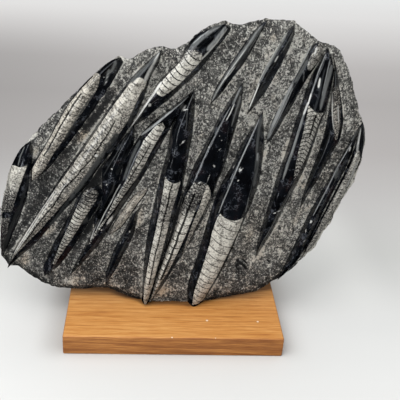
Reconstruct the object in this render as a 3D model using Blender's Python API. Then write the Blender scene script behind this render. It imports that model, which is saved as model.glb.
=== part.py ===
"""A polished orthoceras slab that stands on a plain oak base.

Metres, +Z up, +X along the base's width. The relief side of the slab faces -Y.
The origin is the centre of the base's underside.
"""
import math
import random

import bmesh
import bpy

MM = 0.001

BASE_WIDTH_MM = 200.0
BASE_DEPTH_MM = 130.0
BASE_HEIGHT_MM = 20.0
BASE_EDGE_MM = 1.2
BASE_EDGE_SEGMENTS = 2

FOOT_GAP_MM = 0.3
CENTRE_MM = (0.0, 162.0)
FACE_Y_MM = -10.5
FACE_BULGE_MM = 4.0
RIM_START = 0.93
RIM_DROP_MM = 2.5
CHIP_MM = 1.1
CHIP_SEED = 7
BACK_WAVE_MM = 1.6
BACK_WAVE_X_MM = 24.0
BACK_WAVE_Z_MM = 19.0
SINK_MM = 6.0
FULL_HEIGHT_WIDTH = 0.8
TIP_SINK_MM = 1.2
SHOULDER_SHARE = 0.74
MID_SHARE = 0.94

# The plate's rings as shares of the outline, from the middle of the relief side out. A back ring has its depth too.
FACE_RINGS = (0.3, 0.58, 0.8, 0.93, 0.975)
BACK_RINGS = ((0.97, 5.0), (0.92, 11.0), (0.84, 16.5), (0.6, 21.0), (0.3, 22.0))

# The slab's outline in X and Z, clockwise from the left end of its foot. It dips below the cut that makes the foot.
OUTLINE_MM = (
    (-22, 7), (-29.5, 18), (-41, 22.5), (-53, 28), (-62, 33), (-75, 32.5), (-88, 31.5), (-101, 31.5),
    (-113, 33), (-122, 36), (-131, 42), (-142, 52), (-147, 57.5), (-151, 56), (-155, 56), (-156.5, 62.5),
    (-160.5, 68), (-161, 83), (-160, 92.5), (-159, 102.5), (-158, 114.5), (-154.5, 129.5), (-150, 143.5),
    (-146.5, 157.5), (-140, 170), (-132, 181), (-125, 189), (-118.5, 196.5), (-112, 204), (-104, 211.5),
    (-94, 222.5), (-86, 230.5), (-78, 241), (-70.5, 248), (-60, 256.5), (-53, 261.5), (-48.5, 257.5),
    (-43, 260), (-36.5, 264.5), (-31, 267), (-20, 269.5), (-14, 267.5), (-6.5, 268.5), (0, 273.5), (6, 280),
    (15, 286.5), (24, 291), (29, 292.5), (34, 290), (41, 289.5), (48, 292.5), (58, 293.5), (62, 297),
    (65, 295), (73, 295.5), (83, 295.5), (88, 292), (91.5, 289), (97.5, 284.5), (102, 281.5), (108.5, 279),
    (117.5, 277), (123.5, 274.5), (126.5, 270), (133.5, 258), (138, 248), (144, 233), (147.5, 223),
    (151, 217.5), (153.5, 214), (156.5, 206), (159, 190), (159.5, 181), (158.5, 171), (155.5, 154),
    (152, 145), (147, 132), (142, 118), (141, 112), (135.5, 101), (131.5, 87), (128, 81), (121.5, 74),
    (115, 64), (109, 57), (99, 47), (95.5, 45), (88.5, 39), (81.5, 34), (78, 31), (64, 28.5), (53, 26.5),
    (43, 22.5), (31, 20), (22.5, 18), (12, 6),
)

# One entry a spear: (relief height, bottom tip, top tip, stations). Tips are X, Z. A station is Z, then X at the
# left foot of the flank, the left shoulder, the right shoulder and the right foot.
SPEARS_MM = {
    "a": (7.0, (-157.5, 69), (-127, 187), (
        (80, -158.5, -157.3, -156, -152.5), (95, -158, -155.8, -152.5, -146.5), (110, -156, -153.5, -149, -140.5),
        (125, -154.5, -151, -144.5, -135), (140, -150.5, -147.3, -140, -130.5), (155, -147, -143.5, -134, -129),
        (166, -142.5, -139, -130, -126.8), (178, -136, -133.5, -127.8, -125.3))),
    "b": (8.0, (-128.5, 147), (-52.7, 261.5), (
        (160, -128.5, -125.5, -117, -113.5), (175, -120, -117.5, -110, -102.3), (190, -111.5, -109, -100, -91.3),
        (205, -104, -101.5, -91, -81), (220, -95.5, -93, -82.5, -71.5), (235, -84.5, -82, -73.5, -62),
        (250, -70, -68, -62.5, -54), (259, -59, -57.5, -54.5, -50.3))),
    "c": (10.5, (-154.5, 57.5), (-20, 269.5), (
        (72, -149.7, -148, -146.5, -141), (85, -143.7, -142, -137, -127.3), (100, -134.7, -133, -125, -116),
        (120, -122.3, -120.3, -109, -101), (145, -107.8, -105, -89, -81), (165, -94.5, -92, -76, -69),
        (190, -78.3, -76.3, -57.5, -51.5), (205, -69, -67.5, -49, -43), (220, -60, -58, -41.5, -36),
        (235, -50, -47.5, -35.5, -29.5), (248, -41, -38, -30, -24.5), (260, -30, -28, -23.5, -20.3))),
    "d": (10.0, (-46, 199), (28.7, 292), (
        (210, -40, -39, -37, -31.5), (222, -33.5, -32.5, -28, -19), (232, -27.5, -26.3, -16, -8.5),
        (242, -22.5, -20.5, -5, 0.3), (252, -14, -12, 3.5, 9.8), (262, -5, -3.5, 10.5, 16.8),
        (272, -1.5, 1, 17, 23.3), (281, 5, 8, 24, 29.5), (288, 16, 18, 28, 33))),
    "e": (8.0, (-121.5, 49), (-70.5, 147), (
        (58, -122.3, -117, -113.5, -110.5), (70, -118, -112, -108, -101), (85, -112.2, -107, -98.5, -92),
        (100, -104.8, -100.5, -90, -84), (115, -97.5, -94.5, -82.5, -76.5), (130, -91, -88.5, -74.5, -69),
        (140, -84.3, -82.4, -72.5, -67))),
    "f": (8.5, (-98.5, 50), (6, 236), (
        (62, -94, -92, -90, -87.8), (75, -87.8, -85.5, -82, -78.5), (90, -81, -79, -72.5, -68),
        (120, -67.3, -65, -57.5, -52.5), (150, -53.5, -51, -42, -35.5), (165, -50, -46, -34, -28),
        (180, -44, -40, -26.5, -21), (195, -36, -32, -18.5, -14), (208, -25.5, -22.5, -12.5, -8),
        (220, -12, -9.5, -4, 0))),
    "g": (11.0, (-26.5, 5), (7.3, 238), (
        (25, -30.8, -29.3, -25, -22.3), (60, -30, -27, -18.5, -15), (80, -29, -24.5, -15, -10.5),
        (100, -27, -21.5, -11.5, -6), (120, -24, -19, -8.5, -2.5), (140, -20.7, -16, -4, 2),
        (155, -18.3, -14, -1.5, 3.3), (185, -12.3, -9, 1.5, 7), (200, -10.7, -7, 3, 8.3),
        (215, -5, -2, 5, 8.8), (228, 2.3, 4, 6.5, 8.5))),
    "h": (10.0, (-26, 12), (47.3, 246.5), (
        (30, -21.8, -20.5, -19, -17.5), (45, -18, -16.5, -13.5, -9), (60, -14.5, -13, -7, -2.5),
        (80, -9, -7.5, 2, 6.8), (110, -1, 0.8, 13.5, 17.7), (140, 3.5, 7, 24, 28.5), (155, 6.5, 11, 28.5, 33.3),
        (170, 11.3, 15.5, 32, 37.7), (185, 17.5, 20.5, 35, 40.5), (200, 23.5, 26, 38, 43.4),
        (215, 29.5, 32, 41, 45.8), (230, 37, 39.5, 44, 47.5))),
    "j": (11.5, (17, 4), (65.7, 221.5), (
        (25, 13, 17.3, 26, 29), (40, 12.1, 19, 32, 35.8), (55, 14.3, 22, 38, 42), (70, 18, 24.7, 42.8, 47.3),
        (85, 21, 27.7, 47.5, 52), (100, 23.7, 29.7, 51.5, 55.7), (115, 26.5, 32.7, 55.5, 59.7),
        (130, 29.7, 36.5, 60, 64.3), (145, 33.6, 40.3, 63, 67.7), (160, 39.3, 44, 65, 69.8),
        (175, 45.5, 48.5, 65.5, 70.2), (190, 50, 53.5, 65.5, 70), (205, 57.5, 59.5, 65, 68))),
    "k": (6.0, (20.3, 223), (62, 297), (
        (235, 22.8, 24.5, 26, 30), (250, 29.7, 32, 34.5, 39.2), (265, 37.7, 41, 43.5, 48.4),
        (280, 46.5, 49, 52, 55), (290, 53.2, 55, 57, 59))),
    "l": (7.0, (52, 215.5), (83, 295.5), (
        (228, 53.7, 54.7, 56.5, 60.3), (240, 57.3, 58.3, 61.5, 67.3), (252, 60.6, 62, 66, 72.7),
        (265, 66.3, 68.5, 72.5, 77.8), (278, 72.7, 75, 78.5, 82), (288, 78, 79.7, 82, 84))),
    "m": (7.0, (71.3, 189.5), (103.5, 281), (
        (200, 71.8, 73.5, 75.5, 78.3), (212, 74, 77.5, 80, 83.2), (225, 79, 82.3, 85.5, 89),
        (238, 83.3, 86, 90, 94.2), (250, 88, 91, 95, 99), (262, 92.5, 95.5, 101, 105),
        (272, 95.7, 98.5, 106, 109.5), (278, 98.3, 100.5, 106, 108))),
    "n": (10.5, (74, 74.5), (112.3, 277.5), (
        (90, 73.7, 75.5, 78, 80.7), (105, 75.3, 78, 84, 87.2), (120, 77.8, 81, 88, 91.7),
        (150, 82.6, 86.5, 98, 101.8), (165, 85, 88.5, 102.5, 106.8), (180, 88.5, 91.5, 106, 110.3),
        (195, 91, 94.5, 109, 113.2), (210, 93.2, 97, 111.5, 115.6), (225, 96.3, 100.5, 115, 119),
        (240, 98.8, 103, 116.5, 120), (255, 102.5, 106, 116.5, 120.5), (266, 107.5, 109.3, 115, 117.6))),
    "o": (6.0, (108.3, 126), (117, 272), (
        (140, 109.3, 110.5, 111.5, 113.3), (155, 112.3, 114, 117, 119.6), (170, 115.5, 118, 121.5, 124.4),
        (185, 120, 122.5, 127, 130), (200, 120.7, 124.5, 131, 135), (212, 120.5, 124, 131, 135.2),
        (225, 120.7, 122.7, 129, 132.6), (240, 120.9, 122.2, 125.5, 128), (255, 120.5, 121.2, 122.4, 123.6))),
    "p": (8.0, (97.5, 50), (151.5, 214.5), (
        (65, 101, 103, 106, 109), (80, 105.7, 109, 113, 117), (110, 113.7, 117, 122.5, 127),
        (125, 117.8, 121.5, 126.5, 130.8), (140, 123.3, 127, 131.5, 135), (155, 128.7, 131.3, 136, 139.5),
        (170, 133.7, 135.8, 140, 144), (185, 139.3, 141, 144, 147.3), (200, 144.3, 145.8, 147.3, 149.3))),
    "q": (5.0, (117.5, 77), (151.5, 215), (
        (90, 120.5, 122.5, 125, 127), (105, 125.5, 128, 130.5, 132.5), (120, 129.7, 132.5, 136, 138.5),
        (150, 138.7, 141.5, 146, 149), (165, 143, 146.5, 150, 153), (180, 146.7, 149.5, 153.5, 156.5),
        (195, 149, 150.5, 154, 156.5), (206, 150, 151, 153, 155))),
    "r": (6.0, (-65, 41.5), (-34, 126), (
        (52, -65.3, -63.5, -61.5, -58.5), (65, -62, -59.5, -56, -52.3), (80, -57.5, -54.5, -50, -46.2),
        (95, -51, -48.5, -44, -40), (108, -45.5, -43.5, -40, -37.3), (118, -41.5, -40, -38, -36))),
    "s": (3.0, (-62, 95), (-27.5, 146), (
        (105, -59.5, -57, -53, -50), (118, -52, -49, -45, -42), (130, -45.5, -42.5, -38.5, -35),
        (140, -38, -35, -31.5, -29))),
    "x": (5.5, (-75.5, 99), (-40.5, 204), (
        (115, -75, -73, -71, -68.3), (130, -68.5, -66, -63.5, -60.3), (145, -68, -64, -58, -54),
        (160, -68, -61.5, -55, -51), (175, -61, -56, -50, -46), (190, -51.5, -48.5, -43.5, -40.5))),
}


def clear_scene():
    for obj in list(bpy.data.objects):
        bpy.data.objects.remove(obj, do_unlink=True)


def material(name, colour, roughness):
    made = bpy.data.materials.new(name)
    made.use_nodes = True
    shader = made.node_tree.nodes["Principled BSDF"]
    shader.inputs["Base Color"].default_value = (*colour, 1.0)
    shader.inputs["Roughness"].default_value = roughness
    return made


def object_from(name, mesh_data):
    """A mesh object from a bmesh with its faces turned outwards."""
    bmesh.ops.recalc_face_normals(mesh_data, faces=mesh_data.faces)
    mesh = bpy.data.meshes.new(name)
    mesh_data.to_mesh(mesh)
    mesh_data.free()
    obj = bpy.data.objects.new(name, mesh)
    bpy.context.scene.collection.objects.link(obj)
    return obj


def reach_towards(angle):
    """Distance from the slab's centre to its outline in this direction, in millimetres."""
    ray = (math.cos(angle), math.sin(angle))
    for i, (bx, bz) in enumerate(OUTLINE_MM):
        ax, az = OUTLINE_MM[i - 1]
        ax, az = ax - CENTRE_MM[0], az - CENTRE_MM[1]
        ex, ez = bx - CENTRE_MM[0] - ax, bz - CENTRE_MM[1] - az
        cross = ray[0] * ez - ray[1] * ex
        if abs(cross) < 1e-9:
            continue
        along = (ax * ez - az * ex) / cross
        share = (ax * ray[1] - az * ray[0]) / cross
        if along > 0 and 0 <= share <= 1:
            return along
    raise ValueError("the outline doesn't go round its centre")


def face_y(x, z):
    """Y of the relief side's stone between the spears, in millimetres."""
    dx, dz = x - CENTRE_MM[0], z - CENTRE_MM[1]
    share = min(1.0, math.hypot(dx, dz) / reach_towards(math.atan2(dz, dx)))
    rim = max(0.0, (share - RIM_START) / (1 - RIM_START))
    return FACE_Y_MM - FACE_BULGE_MM * (1 - share**2) + RIM_DROP_MM * rim**2


def back_wave(x, z):
    """How far the broken back swells out at this point, in millimetres."""
    return BACK_WAVE_MM * math.sin(x / BACK_WAVE_X_MM + 1) * math.cos(z / BACK_WAVE_Z_MM)


def add_ring(mesh_data, share, y_of, chips):
    made = []
    chip = CHIP_MM * share**4
    for x, z in OUTLINE_MM:
        ring_x = CENTRE_MM[0] + (x - CENTRE_MM[0]) * share
        ring_z = CENTRE_MM[1] + (z - CENTRE_MM[1]) * share
        y = y_of(ring_x, ring_z) + chips.uniform(-chip, chip)
        made.append(mesh_data.verts.new((ring_x * MM, y * MM, ring_z * MM)))
    return made


def bridge(mesh_data, first, second):
    """Faces between two rings or strings of the same length."""
    for i in range(len(first)):
        mesh_data.faces.new((first[i - 1], first[i], second[i], second[i - 1]))


def fan(mesh_data, ring, tip):
    for i in range(len(ring)):
        mesh_data.faces.new((ring[i - 1], ring[i], tip))


def plate():
    """The slab's stone without its spears."""
    mesh_data = bmesh.new()
    chips = random.Random(CHIP_SEED)
    front = [add_ring(mesh_data, share, face_y, chips) for share in FACE_RINGS]
    rim = [add_ring(mesh_data, 1.0, face_y, chips)]
    rim_y = FACE_Y_MM + RIM_DROP_MM
    back = []
    for share, depth in BACK_RINGS:
        back.append(add_ring(mesh_data, share, lambda x, z, y=rim_y + depth: y + back_wave(x, z), chips))
    rings = front + rim + back
    for inner, outer in zip(rings, rings[1:]):
        bridge(mesh_data, inner, outer)
    x, z = CENTRE_MM
    fan(mesh_data, rings[0], mesh_data.verts.new((x * MM, face_y(x, z) * MM, z * MM)))
    last_y = rim_y + BACK_RINGS[-1][1] + back_wave(x, z)
    fan(mesh_data, rings[-1], mesh_data.verts.new((x * MM, last_y * MM, z * MM)))
    return object_from("fossil_slab", mesh_data)


def spear_section(height, station):
    """X, Y and Z of one level section of a spear, from its left foot round its crest and its buried back."""
    z, left, left_shoulder, right_shoulder, right = station
    middle = (left_shoulder + right_shoulder) / 2
    base = face_y((left + right) / 2, z)
    taper = min(1.0, (right - left) / (FULL_HEIGHT_WIDTH * height))
    rise = height * taper
    sink = SINK_MM * taper
    return (
        (left, base + sink, z),
        (left, base, z),
        (left_shoulder, base - rise * SHOULDER_SHARE, z),
        ((left_shoulder + middle) / 2, base - rise * MID_SHARE, z),
        (middle, base - rise, z),
        ((right_shoulder + middle) / 2, base - rise * MID_SHARE, z),
        (right_shoulder, base - rise * SHOULDER_SHARE, z),
        (right, base, z),
        (right, base + sink, z),
    )


def spear(name, height, bottom, top, stations):
    mesh_data = bmesh.new()
    rings = []
    for station in stations:
        section = spear_section(height, station)
        rings.append([mesh_data.verts.new((x * MM, y * MM, z * MM)) for x, y, z in section])
    for lower, upper in zip(rings, rings[1:]):
        bridge(mesh_data, lower, upper)
    for ring, (x, z) in ((rings[0], bottom), (rings[-1], top)):
        y = face_y(x, z) + TIP_SINK_MM
        fan(mesh_data, ring, mesh_data.verts.new((x * MM, y * MM, z * MM)))
    return object_from(name, mesh_data)


def join_to(body, other):
    made = body.modifiers.new(other.name, "BOOLEAN")
    made.operation = "UNION"
    made.object = other
    other.hide_render = True
    other.display_type = "WIRE"


def cut_foot(body):
    """Cuts the slab off level, just above the base."""
    mesh_data = bmesh.new()
    bmesh.ops.create_cube(mesh_data, size=1.0)
    cutter = object_from("foot_cutter", mesh_data)
    top = BASE_HEIGHT_MM + FOOT_GAP_MM
    cutter.scale = (BASE_WIDTH_MM * MM, BASE_DEPTH_MM * MM, BASE_HEIGHT_MM * MM)
    cutter.location = (0.0, 0.0, (top - BASE_HEIGHT_MM / 2) * MM)
    made = body.modifiers.new("foot", "BOOLEAN")
    made.operation = "DIFFERENCE"
    made.use_self = True
    made.object = cutter
    cutter.hide_render = True
    cutter.display_type = "WIRE"


def fossil_slab():
    body = plate()
    for name, (height, bottom, top, stations) in SPEARS_MM.items():
        join_to(body, spear("spear_" + name, height, bottom, top, stations))
    cut_foot(body)
    body.data.materials.append(material("polished_limestone", (0.05, 0.05, 0.052), 0.35))


def oak_base():
    mesh_data = bmesh.new()
    bmesh.ops.create_cube(mesh_data, size=1.0)
    size = (BASE_WIDTH_MM * MM, BASE_DEPTH_MM * MM, BASE_HEIGHT_MM * MM)
    bmesh.ops.scale(mesh_data, vec=size, verts=mesh_data.verts)
    bmesh.ops.translate(mesh_data, vec=(0.0, 0.0, BASE_HEIGHT_MM * MM / 2), verts=mesh_data.verts)
    board = object_from("oak_base", mesh_data)
    eased = board.modifiers.new("eased_edges", "BEVEL")
    eased.width = BASE_EDGE_MM * MM
    eased.segments = BASE_EDGE_SEGMENTS
    board.data.materials.append(material("oak", (0.58, 0.32, 0.12), 0.5))


clear_scene()
fossil_slab()
oak_base()
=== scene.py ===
"""The looks of a polished orthoceras slab on its oak base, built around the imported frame.

Metres in the row frame: +X along the base's width, the relief side of the slab towards -Y, +Z up.
Tables and names that end in _MM are in millimetres. Tables that end in _SEEN are X and Z in millimetres on
the plane Y = SEEN_PLANE_MM, as the camera's place sees them, so a mark keeps its place on the relief whatever
the relief's height.
"""
import math

import bmesh
import bpy
import numpy as np
from mathutils import Matrix


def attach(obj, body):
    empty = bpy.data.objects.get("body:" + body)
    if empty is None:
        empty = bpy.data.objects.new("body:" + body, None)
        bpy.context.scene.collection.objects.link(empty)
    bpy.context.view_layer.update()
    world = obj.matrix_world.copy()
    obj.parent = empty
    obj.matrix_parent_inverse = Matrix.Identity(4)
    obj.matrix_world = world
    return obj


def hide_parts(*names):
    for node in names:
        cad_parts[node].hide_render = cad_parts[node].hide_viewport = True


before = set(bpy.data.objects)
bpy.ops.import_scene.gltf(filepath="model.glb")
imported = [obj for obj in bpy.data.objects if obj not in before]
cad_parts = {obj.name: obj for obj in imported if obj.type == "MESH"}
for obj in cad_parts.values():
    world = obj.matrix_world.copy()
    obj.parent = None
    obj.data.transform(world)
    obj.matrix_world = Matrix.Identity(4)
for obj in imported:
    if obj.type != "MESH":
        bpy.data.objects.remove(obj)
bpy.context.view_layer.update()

MM = 0.001

# Camera
CAMERA_MM = (-30.3, -558.6, 429.4)
CAMERA_TURN_DEG = -5.11
CAMERA_PITCH_DEG = -28.37
CAMERA_ROLL_DEG = -4.10
CAMERA_LENS_MM = 63.0
SEEN_PLANE_MM = -15.0

# Base. The line of the slab's painted shadow is where the slab meets the board, as X and Y, and its reach is
# how far in front of it the board has painted shadow, as X and distance. A nick is X, Y and its radius. The
# pith is Y and Z of the middle of the tree's rings.
BASE_MM = (200.0, 130.0, 20.0)
BASE_EDGE_MM = 1.2
BASE_EDGE_STEPS = 4
BASE_CELL_MM = 2.5
BASE_COLUMNS = 40
SLAB_SHADOW_LINE_MM = (
    (-100, 7), (-82, 7), (-62, 4.5), (-47, -4.5), (-35, -10), (-27, -18), (-20, -16), (-3, -15), (10, -16),
    (16, -18), (22, -13), (41, -5.5), (66, 2), (87, 9), (103, 14),
)
SLAB_SHADOW_REACH_MM = ((-60, 7.0), (-40, 4.0), (0, 3.0), (90, 3.0))
NICKS_MM = ((30.8, -39.3, 1.3), (78.6, -39.8, 1.2), (-2.4, -64.2, 0.9), (37.0, -64.3, 0.6))
PITH_MM = (150.0, -110.0)
YEAR_MM = 5.2

# Slab. Marks fade out between the two Y of MARKS_END_MM, so the back has none.
FOOT_Z_MM = 20.15
CENTRE_MM = (0.0, 162.0)
FACE_Y_MM = -10.5
FACE_BULGE_MM = 4.0
RIM_START = 0.93
RIM_DROP_MM = 2.5
BACK_DEPTH_MM = 24.5
BACK_DEPTH_POWER = 1.35
BACK_WIDTH_POWER = 0.34
MARKS_END_MM = (3, -3)
SHOULDER_SHARE = 0.74
FULL_HEIGHT_WIDTH = 0.8
SINK_MM = 3.0
TIP_SINK_MM = 1.0

# The slab's meshes. A spear's crest has from the least to the most columns.
ANGLE_COUNT = 3600
RING_POINTS = 680
FRONT_RINGS = 104
FRONT_RING_POWER = 0.86
BACK_RINGS = 30
ROW_STEP_MM = 0.75
LEAST_ROWS = 12
COLUMN_STEP_MM = 0.5
CREST_COLUMNS = (8, 36)
FLANK_STEPS = (0.0, 0.14, 0.3, 0.46, 0.62, 0.76, 0.87, 0.94)

# Lumps in the stone and the wood: height, size and seed. The pit low on the right: X, Z, half its width, half
# its height and its depth.
FACE_LUMPS_MM = ((0.55, 17, 1), (0.3, 7, 2))
PECK_LUMPS_MM = ((0.34, 3.6, 3), (0.26, 2.3, 4))
RIM_LUMPS_MM = ((0.7, 8, 6), (0.7, 2.9, 7))
BACK_LUMPS_MM = ((1.5, 24, 8), (0.5, 5, 10))
BACK_RIDGES_MM = (1.0, 11, 9)
PECK_PITS_MM = (0.9, 3.1, 5)
PIT_MM = (61, 70, 7, 4.5, 3.2)
BASE_WEAR_MM = ((0.12, 28, 12),)

# Marks on the stone. A stored distance stops at NO_MARK_MM. The slab's rim is darker below, a painted shade,
# from these shares of the way out and this far below the centre. The border is a paler band round a spear,
# partly paler stone and partly painted light where the stone round a spear faces the light. The foot of a
# left flank counts as further away, so that less bare stone shows on it.
NO_MARK_MM = 9.0
UNDERSIDE_SHADE = 1.3
UNDERSIDE_RIM = (0.945, 0.99)
UNDERSIDE_FROM_CENTRE_MM = (-70, -110)
PATCH_EDGE = 0.35
STREAK_EDGE_MM = 0.5
STREAK_TIPS = 0.05
BORDER_MM = 2.6
BORDER_FULL_MM = 0.2
LEFT_BORDER_SHARE = 0.55
LEFT_FOOT_GAIN = 3
BAND_TIPS = 0.12
RUST_EDGE_MM = 1.0
RUST_TIPS = 0.2

OUTLINE_MM = (
    (-22, 7), (-29.5, 18), (-41, 22.5), (-53, 28), (-62, 33), (-75, 32.5), (-88, 31.5), (-101, 31.5),
    (-113, 33), (-122, 36), (-131, 42), (-142, 52), (-147, 57.5), (-151, 56), (-155, 56), (-156.5, 62.5),
    (-160.5, 68), (-161, 83), (-160, 92.5), (-159, 102.5), (-158, 114.5), (-154.5, 129.5), (-150, 143.5),
    (-146.5, 157.5), (-140, 170), (-132, 181), (-125, 189), (-118.5, 196.5), (-112, 204), (-104, 211.5),
    (-94, 222.5), (-86, 230.5), (-78, 241), (-70.5, 248), (-60, 256.5), (-53, 261.5), (-48.5, 257.5),
    (-43, 260), (-36.5, 264.5), (-31, 267), (-20, 269.5), (-14, 267.5), (-6.5, 268.5), (0, 273.5), (6, 280),
    (15, 286.5), (24, 291), (29, 292.5), (34, 290), (41, 289.5), (48, 292.5), (58, 293.5), (62, 297),
    (65, 295), (73, 295.5), (83, 295.5), (88, 292), (91.5, 289), (97.5, 284.5), (102, 281.5), (108.5, 279),
    (117.5, 277), (123.5, 274.5), (126.5, 270), (133.5, 258), (138, 248), (144, 233), (147.5, 223),
    (151, 217.5), (153.5, 214), (156.5, 206), (159, 190), (159.5, 181), (158.5, 171), (155.5, 154),
    (152, 145), (147, 132), (142, 118), (141, 112), (135.5, 101), (131.5, 87), (128, 81), (121.5, 74),
    (115, 64), (109, 57), (99, 47), (95.5, 45), (88.5, 39), (81.5, 34), (78, 31), (64, 28.5), (53, 26.5),
    (43, 22.5), (31, 20), (22.5, 18), (12, 6),
)

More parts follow.
